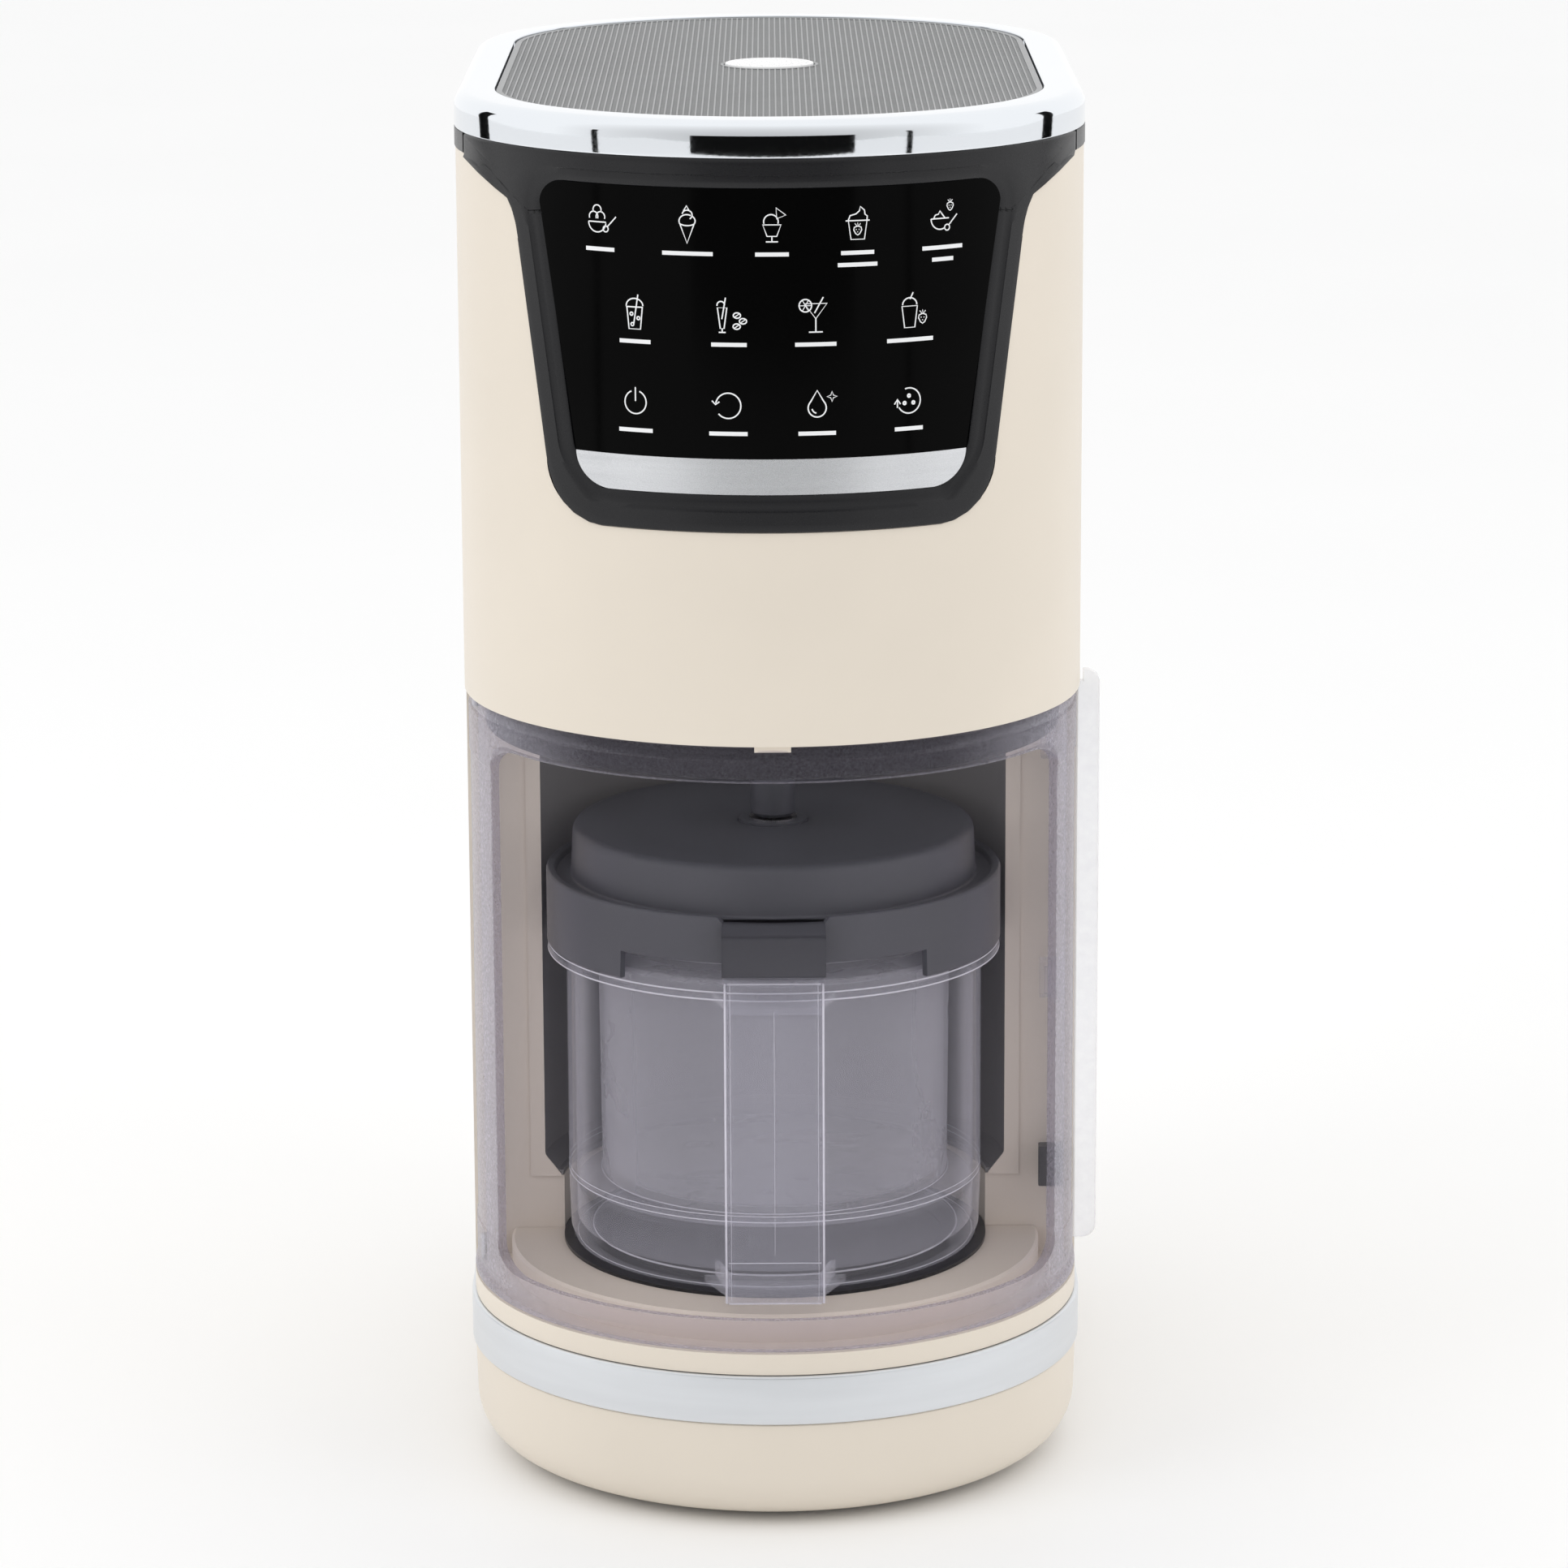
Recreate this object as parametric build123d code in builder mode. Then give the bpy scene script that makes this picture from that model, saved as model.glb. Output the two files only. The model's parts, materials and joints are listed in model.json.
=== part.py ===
from build123d import *
import os
from math import cos, pi, radians, sin

# Countertop ice cream maker. The body is a tall stadium in plan: a half circle in front, flat
# sides, and a half circle behind. A clear bowl stands in a niche behind a swinging clear door,
# and the drive that lowers and turns the mixing blade is in the housing above it.
# Everything is drawn around the bowl's upright axis; +Z is up and the front faces -Y.

# ---- Driving dimensions, mm --------------------------------------------------------------
BODY_RADIUS = 88.0        # front and rear half circles of the body, in plan
STRAIGHT = 125.0          # length of the flat sides between the half circles
WALL = 2.5                # moulded casing wall
BOWL_X = -2.5             # bowl axis from the middle of the whole object's outline
BOWL_Y = -62.5

FOOT_HEIGHT = 2.0
BASE_BOTTOM = FOOT_HEIGHT
BAND_BOTTOM = 32.0
BAND_TOP = 46.5
COLLAR_TOP = 52.5
DECK_TOP = 60.5
NICHE_STEP = 76.5
CEILING = 215.5
CEILING_RADIUS = 82.0
HOUSING_BOTTOM = 226.0
HOUSING_TOP = 380.5
BEZEL_BOTTOM = 386.0
TOP = 396.0
SPINE_FRONT = 6.0         # front face of the rear housing, behind the bowl axis

BAND_RADIUS = BODY_RADIUS + 0.8
PLATFORM_RADIUS = 77.0
NICHE_RADIUS = 67.5       # dark liner, upper niche
FOOT_NICHE_RADIUS = 62.0  # lower niche round the foot of the bowl

DOOR_RADIUS = 87.0
DOOR_WALL = 2.7
DOOR_BOTTOM = COLLAR_TOP + 0.5
DOOR_TOP = HOUSING_BOTTOM - 0.6
HINGE_X = -85.1           # door hinge axis
HINGE_Y = 2.2
HINGE_PIN_RADIUS = 1.2

GAP = 0.2                 # gap between mouldings that are fixed to each other
RUNNING = 0.05            # radial clearance of a running fit

BOWL_RADIUS = 60.0
BOWL_BOTTOM = 61.9
BOWL_FLANGE = 148.0
BOWL_LIP = 158.0
TUB_RADIUS = 50.8
TUB_BOTTOM = 80.2
LID_RADIUS = 65.5
LID_BOTTOM = 151.0
LID_SHOULDER = 171.5
LID_TOP = 185.0
TURRET_RADIUS = 58.0
HANDLE_HALF_WIDTH = 14.0
HANDLE_FRONT = 80.0

SPINDLE_RADIUS = 6.5
SPINDLE_TIP = 186.6
CARRIAGE_BOTTOM = 302.0
MOTOR_Y = 60.0            # main motor axis behind the spindle
MODULE = 2.0
PINION_TEETH = 12
SPINDLE_TEETH = 48
SCREW_Y = 104.0           # lift screw axis behind the spindle
LIFT_MODULE = 1.5
LIFT_PINION_TEETH = 12
SCREW_TEETH = 36
ROD_X = 62.0
ROD_Y = 40.0
ROD_RADIUS = 5.0
BIG = 500.0

BOWL_AXIS = Axis((BOWL_X, BOWL_Y, 0), (0, 0, 1))
FRONT_VIEW = Plane(origin=(BOWL_X, BOWL_Y, 0), x_dir=(1, 0, 0), z_dir=(0, -1, 0))


# ---- Helpers ------------------------------------------------------------------------------
def level(height, x=0.0, y=0.0):
    """A horizontal sketch plane, measured from the bowl axis."""
    return Plane(origin=(BOWL_X + x, BOWL_Y + y, height))


def upright(y):
    """A sketch plane facing the front, y behind the bowl axis: local x is +X, local y is up."""
    return Plane(origin=(BOWL_X, BOWL_Y + y, 0), x_dir=(1, 0, 0), z_dir=(0, -1, 0))


def at(x, y, z):
    """A location measured from the bowl axis."""
    return Locations((BOWL_X + x, BOWL_Y + y, z))


def stadium(radius, mode=Mode.ADD):
    """The body's plan outline at this half width, in the open sketch."""
    with Locations((0, STRAIGHT / 2)):
        SlotCenterToCenter(STRAIGHT, 2 * radius, rotation=90, mode=mode)


def keep_behind(y):
    with Locations((0, y)):
        Rectangle(BIG, BIG, align=(Align.CENTER, Align.MIN), mode=Mode.INTERSECT)


def keep_ahead(y):
    with Locations((0, y)):
        Rectangle(BIG, BIG, align=(Align.CENTER, Align.MAX), mode=Mode.INTERSECT)


def profile(points):
    """A closed outline of (radius, height) points, in the open sketch."""
    Polygon(*points, align=None)


def gear_outline(teeth, module):
    """A spur gear with straight-flanked teeth and working backlash, one tooth on local +X."""
    pitch_radius = module * teeth / 2
    root = pitch_radius - 1.2 * module
    tip = pitch_radius + 0.85 * module
    pitch = pi * module
    Circle(root)
    with PolarLocations(0, teeth):
        Polygon(
            (root - 0.5, -0.34 * pitch),
            (pitch_radius, -0.215 * pitch),
            (tip, -0.09 * pitch),
            (tip, 0.09 * pitch),
            (pitch_radius, 0.215 * pitch),
            (root - 0.5, 0.34 * pitch),
            align=None,
        )


def save(builder, name):
    builder.part.label = name
    export_step(builder.part, f"parts/{name}.step")


os.makedirs("parts", exist_ok=True)

# ---- Base ---------------------------------------------------------------------------------
BASE_TAPER = 1.8
BASE_ROUND = 14.0
PLATE_RADIUS = 70.0
PLATE_THICK = 3.0
POST_POINTS = [(-62, 20), (62, 20), (-62, 110), (62, 110)]
FOOT_POINTS = [(-44, -34), (44, -34), (-44, 159), (44, 159)]
POST_RADIUS = 5.0
FOOT_RADIUS = 9.0
SCREW_RADIUS = 1.5
SCREW_HEAD = 3.0
HEAD_THICK = 1.2
SCREW_LENGTH = 12.0
BAND_ROUND = 0.7
DECK_CHAMFER = 0.8
SEAT_EDGE = FOOT_NICHE_RADIUS - 3.4   # inner edge of the seat ring
SEAT_GROOVES = (20, 34, 48)           # radii of the seat pad's grooves

with BuildPart() as base_shell:
    with BuildSketch(level(BAND_BOTTOM)):
        stadium(BODY_RADIUS)
    extrude(amount=-(BAND_BOTTOM - BASE_BOTTOM), taper=BASE_TAPER)
    fillet(base_shell.faces().sort_by(Axis.Z)[0].edges(), BASE_ROUND)
    offset(amount=-WALL, openings=base_shell.faces().sort_by(Axis.Z)[-1])
    with BuildSketch(level(BASE_BOTTOM)):
        stadium(PLATE_RADIUS + GAP)
    extrude(amount=PLATE_THICK + 1, mode=Mode.SUBTRACT)
save(base_shell, "base_shell")

with BuildPart() as base_plate:
    with BuildSketch(level(BASE_BOTTOM)):
        stadium(PLATE_RADIUS)
    extrude(amount=PLATE_THICK)
    with BuildSketch(level(BASE_BOTTOM)):
        with Locations(*POST_POINTS):
            Circle(SCREW_HEAD + 0.4)
    extrude(amount=PLATE_THICK / 2, mode=Mode.SUBTRACT)
    with BuildSketch(level(BASE_BOTTOM)):
        with Locations(*POST_POINTS):
            Circle(SCREW_RADIUS)
        with GridLocations(14, 30, 5, 3):
            with Locations((0, STRAIGHT / 2)):
                SlotOverall(22, 3, rotation=90)
    extrude(amount=PLATE_THICK, mode=Mode.SUBTRACT)
save(base_plate, "base_plate")

with BuildPart() as rubber_feet:
    with BuildSketch(level(0)):
        with Locations(*FOOT_POINTS):
            Circle(FOOT_RADIUS)
    extrude(amount=FOOT_HEIGHT)
    chamfer(rubber_feet.faces().sort_by(Axis.Z)[:4].edges(), FOOT_HEIGHT / 4)
save(rubber_feet, "rubber_feet")

with BuildPart() as base_screws:
    with BuildSketch(level(BASE_BOTTOM + PLATE_THICK / 2)):
        with Locations(*POST_POINTS):
            Circle(SCREW_HEAD)
    extrude(amount=-HEAD_THICK)
    with BuildSketch(level(BASE_BOTTOM + PLATE_THICK / 2)):
        with Locations(*POST_POINTS):
            Circle(SCREW_RADIUS)
    extrude(amount=SCREW_LENGTH)
save(base_screws, "base_screws")

with BuildPart() as trim_band:
    with BuildSketch(level(BAND_BOTTOM)):
        stadium(BAND_RADIUS)
    extrude(amount=BAND_TOP - BAND_BOTTOM)
    outer_rims = trim_band.faces().filter_by(Plane.XY).edges()
    fillet(outer_rims, BAND_ROUND)
    with BuildSketch(level(BAND_BOTTOM)):
        stadium(BODY_RADIUS - WALL)
    extrude(amount=BAND_TOP - BAND_BOTTOM, mode=Mode.SUBTRACT)
save(trim_band, "trim_band")

with BuildPart() as base_deck:
    with BuildSketch(level(BAND_TOP)):
        stadium(BODY_RADIUS - 0.3)
        keep_ahead(SPINE_FRONT - GAP)
        stadium(BODY_RADIUS - WALL - 0.3)
    extrude(amount=COLLAR_TOP - BAND_TOP)
    with BuildSketch(level(COLLAR_TOP)):
        Circle(PLATFORM_RADIUS)
        keep_ahead(SPINE_FRONT - GAP)
        Circle(FOOT_NICHE_RADIUS - GAP)
    extrude(amount=DECK_TOP - COLLAR_TOP)
    with BuildSketch(level(BAND_TOP)):
        stadium(BODY_RADIUS - 2 * WALL)
    extrude(amount=COLLAR_TOP - BAND_TOP - WALL, mode=Mode.SUBTRACT)
    with BuildSketch(level(BAND_TOP)):
        Circle(FOOT_NICHE_RADIUS - GAP - WALL)
    extrude(amount=DECK_TOP - BAND_TOP - WALL, mode=Mode.SUBTRACT)
    with BuildSketch(level(BASE_BOTTOM + PLATE_THICK)):
        with Locations(*POST_POINTS):
            Circle(POST_RADIUS)
    extrude(amount=COLLAR_TOP - BASE_BOTTOM - PLATE_THICK - 1)
    with BuildSketch(level(BASE_BOTTOM + PLATE_THICK)):
        with Locations(*POST_POINTS):
            Circle(SCREW_RADIUS)
    extrude(amount=SCREW_LENGTH + 2, mode=Mode.SUBTRACT)
    with BuildSketch(level(BAND_TOP, HINGE_X, HINGE_Y)):
        Circle(HINGE_PIN_RADIUS)
    extrude(amount=COLLAR_TOP - BAND_TOP, mode=Mode.SUBTRACT)
    rim = base_deck.edges().filter_by(GeomType.CIRCLE).group_by(Axis.Z)[-1]
    chamfer(rim.filter_by(lambda e: e.radius > FOOT_NICHE_RADIUS), DECK_CHAMFER)
save(base_deck, "base_deck")

with BuildPart() as seat_ring:
    with BuildSketch(level(DECK_TOP)):
        Circle(FOOT_NICHE_RADIUS - 0.4)
        Circle(SEAT_EDGE, mode=Mode.SUBTRACT)
    extrude(amount=1.0)
save(seat_ring, "seat_ring")

with BuildPart() as seat_pad:
    with BuildSketch(level(DECK_TOP)):
        Circle(SEAT_EDGE - GAP)
    extrude(amount=0.6)
    with BuildSketch(level(DECK_TOP + 0.6)):
        for radius in SEAT_GROOVES:
            Circle(radius + 1)
            Circle(radius, mode=Mode.SUBTRACT)
    extrude(amount=-0.3, mode=Mode.SUBTRACT)
save(seat_pad, "seat_pad")

# ---- Rear housing, niche and chamber ceiling ------------------------------------------------
LINER_WALL = 2.0
LINER_RADIUS = NICHE_RADIUS + LINER_WALL
LINER_BOTTOM = NICHE_STEP + GAP
LINER_LEDGE = 1.5         # thickness of the liner's foot, which covers the niche's step
BOARD_Y = 165.0
BOARD_THICK = 1.6
BOSS_X = 38.0
BOSS_HEIGHTS = (96.0, 176.0)
BOSS_RADIUS = 4.0
BOSS_LENGTH = 36.4
VENT_Z = 140.0
VENT_PITCH = 7.0
VENT_COUNT = 7
VENT_LENGTH = 44.0
VENT_WIDTH = 2.6
REAR_CUT = 16.0           # depth of the cuts through the curved rear wall
INLET_HALF_WIDTH = 14.0
INLET_Z = (62.0, 84.0)
INLET_MIDDLE = sum(INLET_Z) / 2
HUB_RADIUS = 18.0         # boss of the chamber ceiling round the spindle
SPINDLE_OPENING = SPINDLE_RADIUS + 3

with BuildPart() as rear_housing:
    with BuildSketch(level(BAND_TOP)):
        stadium(BODY_RADIUS)
        keep_behind(SPINE_FRONT)
    extrude(amount=NICHE_STEP - BAND_TOP)
    with BuildSketch(level(COLLAR_TOP)):
        Circle(FOOT_NICHE_RADIUS)
    extrude(amount=NICHE_STEP - COLLAR_TOP, mode=Mode.SUBTRACT)
    with BuildSketch(level(NICHE_STEP)):
        stadium(BODY_RADIUS)
        keep_behind(SPINE_FRONT)
        Circle(LINER_RADIUS + GAP, mode=Mode.SUBTRACT)
    extrude(amount=HOUSING_BOTTOM - NICHE_STEP)
    with BuildSketch(level(BAND_TOP)):
        stadium(BODY_RADIUS - WALL)
    extrude(amount=COLLAR_TOP - BAND_TOP, mode=Mode.SUBTRACT)
    with BuildSketch(level(COLLAR_TOP)):
        stadium(BODY_RADIUS - WALL)
        keep_behind(SPINE_FRONT + WALL)
        Circle(FOOT_NICHE_RADIUS + WALL, mode=Mode.SUBTRACT)
    extrude(amount=NICHE_STEP - WALL - COLLAR_TOP, mode=Mode.SUBTRACT)
    with BuildSketch(level(NICHE_STEP - WALL)):
        stadium(BODY_RADIUS - WALL)
        keep_behind(SPINE_FRONT + WALL)
        Circle(LINER_RADIUS + WALL, mode=Mode.SUBTRACT)
    extrude(amount=WALL, mode=Mode.SUBTRACT)
    # Above the step the liner closes the niche, so the casing is open behind it.
    with BuildSketch(level(NICHE_STEP)):
        stadium(BODY_RADIUS - WALL)
        keep_behind(SPINE_FRONT + WALL)
    extrude(amount=HOUSING_BOTTOM - NICHE_STEP, mode=Mode.SUBTRACT)
    # Bosses for the power board, from the rear wall forwards.
    with BuildSketch(upright(BOARD_Y + BOSS_LENGTH + BOARD_THICK)):
        for height in BOSS_HEIGHTS:
            with Locations((-BOSS_X, height), (BOSS_X, height)):
                Circle(BOSS_RADIUS)
    extrude(amount=BOSS_LENGTH)
    # Cooling slots low in the rear wall, and the opening for the power inlet.
    with BuildSketch(upright(STRAIGHT + BODY_RADIUS + 2)):
        with Locations((0, VENT_Z)):
            with GridLocations(VENT_PITCH, 0, VENT_COUNT, 1):
                SlotOverall(VENT_LENGTH, VENT_WIDTH, rotation=90)
    extrude(amount=REAR_CUT, mode=Mode.SUBTRACT)
    with BuildSketch(upright(STRAIGHT + BODY_RADIUS + 2)):
        with Locations((0, INLET_MIDDLE)):
            Rectangle(2 * INLET_HALF_WIDTH, INLET_Z[1] - INLET_Z[0])
    extrude(amount=REAR_CUT, mode=Mode.SUBTRACT)
save(rear_housing, "rear_housing")

with BuildPart() as niche_liner:
    with BuildSketch(level(LINER_BOTTOM)):
        Circle(LINER_RADIUS)
        Circle(NICHE_RADIUS, mode=Mode.SUBTRACT)
        keep_behind(SPINE_FRONT - 2 * GAP)
    extrude(amount=HOUSING_BOTTOM - NICHE_STEP - 2 * GAP)
    with BuildSketch(level(LINER_BOTTOM)):
        Circle(NICHE_RADIUS + 1)
        Circle(FOOT_NICHE_RADIUS + GAP, mode=Mode.SUBTRACT)
        keep_behind(SPINE_FRONT - 2 * GAP)
    extrude(amount=LINER_LEDGE)
save(niche_liner, "niche_liner")

with BuildPart() as chamber_ceiling:
    with BuildSketch(level(CEILING)):
        Circle(CEILING_RADIUS)
        keep_ahead(SPINE_FRONT - 3 * GAP)
        Circle(NICHE_RADIUS - GAP)
    extrude(amount=HOUSING_BOTTOM - CEILING)
    with BuildSketch(level(CEILING + WALL)):
        Circle(CEILING_RADIUS - WALL)
        keep_ahead(SPINE_FRONT - 3 * GAP - WALL)
        Circle(NICHE_RADIUS - GAP - WALL)
    extrude(amount=HOUSING_BOTTOM - CEILING - WALL, mode=Mode.SUBTRACT)
    with BuildSketch(level(CEILING)):
        Circle(HUB_RADIUS)
    extrude(amount=HOUSING_BOTTOM - CEILING)
    with BuildSketch(level(CEILING)):
        Circle(SPINDLE_OPENING)
    extrude(amount=HOUSING_BOTTOM - CEILING, mode=Mode.SUBTRACT)
save(chamber_ceiling, "chamber_ceiling")

# ---- Upper housing and control panel --------------------------------------------------------
CATCH_HALF_WIDTH = 5.0
CATCH_HEIGHT = 1.8
PANEL_PROUD = 0.8
PANEL_BOTTOM = 285.0
PANEL_TOP_WIDTH = 68.6
PANEL_FOOT_WIDTH = 61.2
PANEL_FLAT = 46.0         # half width of the straight bottom edge
SHOULDER = 14.0
GLASS_TOP = 378.0
GLASS_CORNER = 6.0
GLASS_FOOT_WIDTH = 52.9
GLASS_SPREAD = 9.3 / 66.0 # how fast the glass widens upwards
GLASS_THICK = 1.4
STRIP_TOP = 305.2
STRIP_BOTTOM = 295.5
STRIP_FLAT = 44.0         # half width of the strip's straight bottom edge


def panel_outline():
    """Front view of the control panel: tapering sides, round feet, shoulders into the band."""
    wide = PANEL_TOP_WIDTH
    foot = PANEL_FOOT_WIDTH
    heel = PANEL_BOTTOM + 17.0
    waist = HOUSING_TOP - 20.0
    with BuildLine() as outline:
        bottom = Line((-PANEL_FLAT, PANEL_BOTTOM), (PANEL_FLAT, PANEL_BOTTOM))
        right_foot = ThreePointArc(bottom @ 1, (foot - 4.6, PANEL_BOTTOM + 5.2), (foot, heel))
        right_side = Line(right_foot @ 1, (wide, waist))
        right_top = ThreePointArc(
            right_side @ 1, (wide + 4.0, HOUSING_TOP - 7), (wide + SHOULDER, HOUSING_TOP)
        )
        lid = Line(right_top @ 1, (-wide - SHOULDER, HOUSING_TOP))
        left_top = ThreePointArc(lid @ 1, (-wide - 4.0, HOUSING_TOP - 7), (-wide, waist))
        left_side = Line(left_top @ 1, (-foot, heel))
        ThreePointArc(left_side @ 1, (-foot + 4.6, PANEL_BOTTOM + 5.2), bottom @ 0)
    make_face(outline.edges())


def glass_edge(height):
    """Half width of the glass and strip at this height."""
    return GLASS_FOOT_WIDTH + (height - STRIP_TOP) * GLASS_SPREAD


def glass_outline():
    top = glass_edge(GLASS_TOP - GLASS_CORNER)
    foot = glass_edge(STRIP_TOP)
    shoulder = GLASS_TOP - GLASS_CORNER
    inset = GLASS_CORNER / 4
    with BuildLine() as outline:
        bottom = Line((-foot, STRIP_TOP), (foot, STRIP_TOP))
        right = Line(bottom @ 1, (top, shoulder))
        right_corner = ThreePointArc(
            right @ 1, (top - inset, GLASS_TOP - inset), (top - GLASS_CORNER, GLASS_TOP)
        )
        lid = Line(right_corner @ 1, (-top + GLASS_CORNER, GLASS_TOP))
        left_corner = ThreePointArc(lid @ 1, (-top + inset, GLASS_TOP - inset), (-top, shoulder))
        Line(left_corner @ 1, bottom @ 0)
    make_face(outline.edges())


def strip_outline():
    edge = glass_edge(STRIP_TOP)
    curve = (edge - 2.9, STRIP_BOTTOM + 2.8)
    with BuildLine() as outline:
        bottom = Line((-STRIP_FLAT, STRIP_BOTTOM), (STRIP_FLAT, STRIP_BOTTOM))
        right = ThreePointArc(bottom @ 1, curve, (edge, STRIP_TOP))
        top = Line(right @ 1, (-edge, STRIP_TOP))
        ThreePointArc(top @ 1, (-curve[0], curve[1]), bottom @ 0)
    make_face(outline.edges())


def curved_plate(outer, inner, low, high):
    """A ring of the body's plan between two radii and two heights, in the open part."""
    with BuildSketch(level(low)) as ring:
        stadium(outer)
        stadium(inner, mode=Mode.SUBTRACT)
    extrude(ring.sketch, amount=high - low)


with BuildPart() as upper_housing:
    curved_plate(BODY_RADIUS, BODY_RADIUS - WALL, HOUSING_BOTTOM, HOUSING_TOP)
    with BuildSketch(FRONT_VIEW):
        panel_outline()
    extrude(amount=BIG, mode=Mode.SUBTRACT)
    # Catch for the door's top edge, and the socket of the upper hinge pin.
    with at(0, -DOOR_RADIUS + DOOR_WALL / 2, HOUSING_BOTTOM - CATCH_HEIGHT / 2):
        Box(2 * CATCH_HALF_WIDTH, 1.8, CATCH_HEIGHT)
    with BuildSketch(level(HOUSING_BOTTOM, HINGE_X, HINGE_Y)):
        Circle(HINGE_PIN_RADIUS)
    extrude(amount=3, mode=Mode.SUBTRACT)
save(upper_housing, "upper_housing")

with BuildPart() as control_frame:
    curved_plate(BODY_RADIUS + PANEL_PROUD, BODY_RADIUS - WALL, PANEL_BOTTOM, HOUSING_TOP)
    with BuildSketch(FRONT_VIEW):
        panel_outline()
    extrude(amount=BIG, mode=Mode.INTERSECT)
    with BuildSketch(FRONT_VIEW):
        glass_outline()
        strip_outline()
    extrude(amount=BIG, mode=Mode.SUBTRACT)
    curved_plate(BODY_RADIUS, BODY_RADIUS - WALL, HOUSING_TOP, BEZEL_BOTTOM)
save(control_frame, "control_frame")

with BuildPart() as control_glass:
    curved_plate(BODY_RADIUS - 0.1, BODY_RADIUS - 0.1 - GLASS_THICK, STRIP_BOTTOM, GLASS_TOP)
    with BuildSketch(FRONT_VIEW):
        glass_outline()
    extrude(amount=BIG, mode=Mode.INTERSECT)
save(control_glass, "control_glass")

with BuildPart() as trim_strip:
    curved_plate(BODY_RADIUS + 0.1, BODY_RADIUS - 0.1 - GLASS_THICK, STRIP_BOTTOM, STRIP_TOP)
    with BuildSketch(FRONT_VIEW):
        strip_outline()
    extrude(amount=BIG, mode=Mode.INTERSECT)
save(trim_strip, "trim_strip")

CONTROL_BOARD_Y = -66.0
CONTROL_BOARD_Z = 336.0
BOARD_POST = 10.2         # length of the posts between the board and the panel
with BuildPart() as control_board:
    with BuildSketch(upright(CONTROL_BOARD_Y)):
        with Locations((0, CONTROL_BOARD_Z)):
            RectangleRounded(96, 76, 3)
    extrude(amount=-BOARD_THICK)
    with BuildSketch(upright(CONTROL_BOARD_Y)):
        with Locations((0, CONTROL_BOARD_Z)):
            with GridLocations(76, 60, 2, 2):
                Circle(2.5)
    extrude(amount=BOARD_POST)
    with BuildSketch(upright(CONTROL_BOARD_Y + BOARD_THICK)):
        with Locations((-20, 330)):
            Rectangle(14, 14)
        with Locations((18, 318)):
            Rectangle(22, 8)
    extrude(amount=-1.8)
save(control_board, "control_board")

# ---- Top: bezel, grille, badge and inner tray -------------------------------------------------
GRILLE_RADIUS = 76.4
GRILLE_TOP = TOP - 0.5
GRILLE_THICK = 1.5
BADGE_RADIUS = 13.0
BEZEL_ROUND = 3.5
SLOT_PITCH = 6.0
SLOT_WIDTH = 3.0
SLOT_LENGTH = 48.0

with BuildPart() as chrome_bezel:
    with BuildSketch(level(BEZEL_BOTTOM)):
        stadium(BODY_RADIUS + 0.3)
    extrude(amount=TOP - BEZEL_BOTTOM)
    fillet(chrome_bezel.faces().sort_by(Axis.Z)[-1].edges(), BEZEL_ROUND)
    with BuildSketch(level(BEZEL_BOTTOM)):
        stadium(GRILLE_RADIUS - 2)
    extrude(amount=TOP - BEZEL_BOTTOM, mode=Mode.SUBTRACT)
    with BuildSketch(level(TOP)):
        stadium(GRILLE_RADIUS + 0.3)
    extrude(amount=-(TOP - GRILLE_TOP) - GRILLE_THICK, mode=Mode.SUBTRACT)
save(chrome_bezel, "chrome_bezel")

with BuildPart() as top_grille:
    with BuildSketch(level(GRILLE_TOP)):
        stadium(GRILLE_RADIUS)
        with Locations((0, STRAIGHT / 2)):
            Circle(BADGE_RADIUS, mode=Mode.SUBTRACT)
    extrude(amount=-GRILLE_THICK)
    with BuildSketch(level(GRILLE_TOP)):
        with Locations((0, STRAIGHT / 2)):
            with GridLocations(SLOT_PITCH, SLOT_LENGTH + 2 * SLOT_WIDTH, 24, 5):
                Rectangle(SLOT_WIDTH, SLOT_LENGTH)
        stadium(GRILLE_RADIUS - 4, mode=Mode.INTERSECT)
        with Locations((0, STRAIGHT / 2)):
            Circle(BADGE_RADIUS + 3, mode=Mode.SUBTRACT)
    extrude(amount=-GRILLE_THICK, mode=Mode.SUBTRACT)
save(top_grille, "top_grille")

with BuildPart() as top_badge:
    with BuildSketch(level(GRILLE_TOP - GRILLE_THICK, 0, STRAIGHT / 2)):
        Circle(BADGE_RADIUS - 0.1)
    extrude(amount=TOP - GRILLE_TOP + GRILLE_THICK)
    fillet(top_badge.edges().group_by(Axis.Z)[-1], 0.4)
save(top_badge, "top_badge")

TRAY_THICK = 2.5
ROD_EYE = 4.0             # material round each rod and screw end
with BuildPart() as top_tray:
    with BuildSketch(level(BEZEL_BOTTOM - TRAY_THICK)):
        stadium(BODY_RADIUS - WALL - 0.2)
        with Locations((0, STRAIGHT / 2)):
            with GridLocations(9, 64, 13, 3):
                SlotOverall(46, 4.5, rotation=90, mode=Mode.SUBTRACT)
        with Locations((-ROD_X, ROD_Y), (ROD_X, ROD_Y)):
            Circle(ROD_RADIUS + ROD_EYE)
            Circle(ROD_RADIUS, mode=Mode.SUBTRACT)
        with Locations((0, SCREW_Y)):
            Circle(ROD_RADIUS + ROD_EYE)
            Circle(ROD_RADIUS + RUNNING, mode=Mode.SUBTRACT)
    extrude(amount=TRAY_THICK)
save(top_tray, "top_tray")

with BuildPart() as tray_posts:
    with BuildSketch(level(BEZEL_BOTTOM, 0, STRAIGHT / 2)):
        with GridLocations(72, 90, 2, 2):
            Circle(2.5)
    extrude(amount=GRILLE_TOP - GRILLE_THICK - BEZEL_BOTTOM)
save(tray_posts, "tray_posts")

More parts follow.
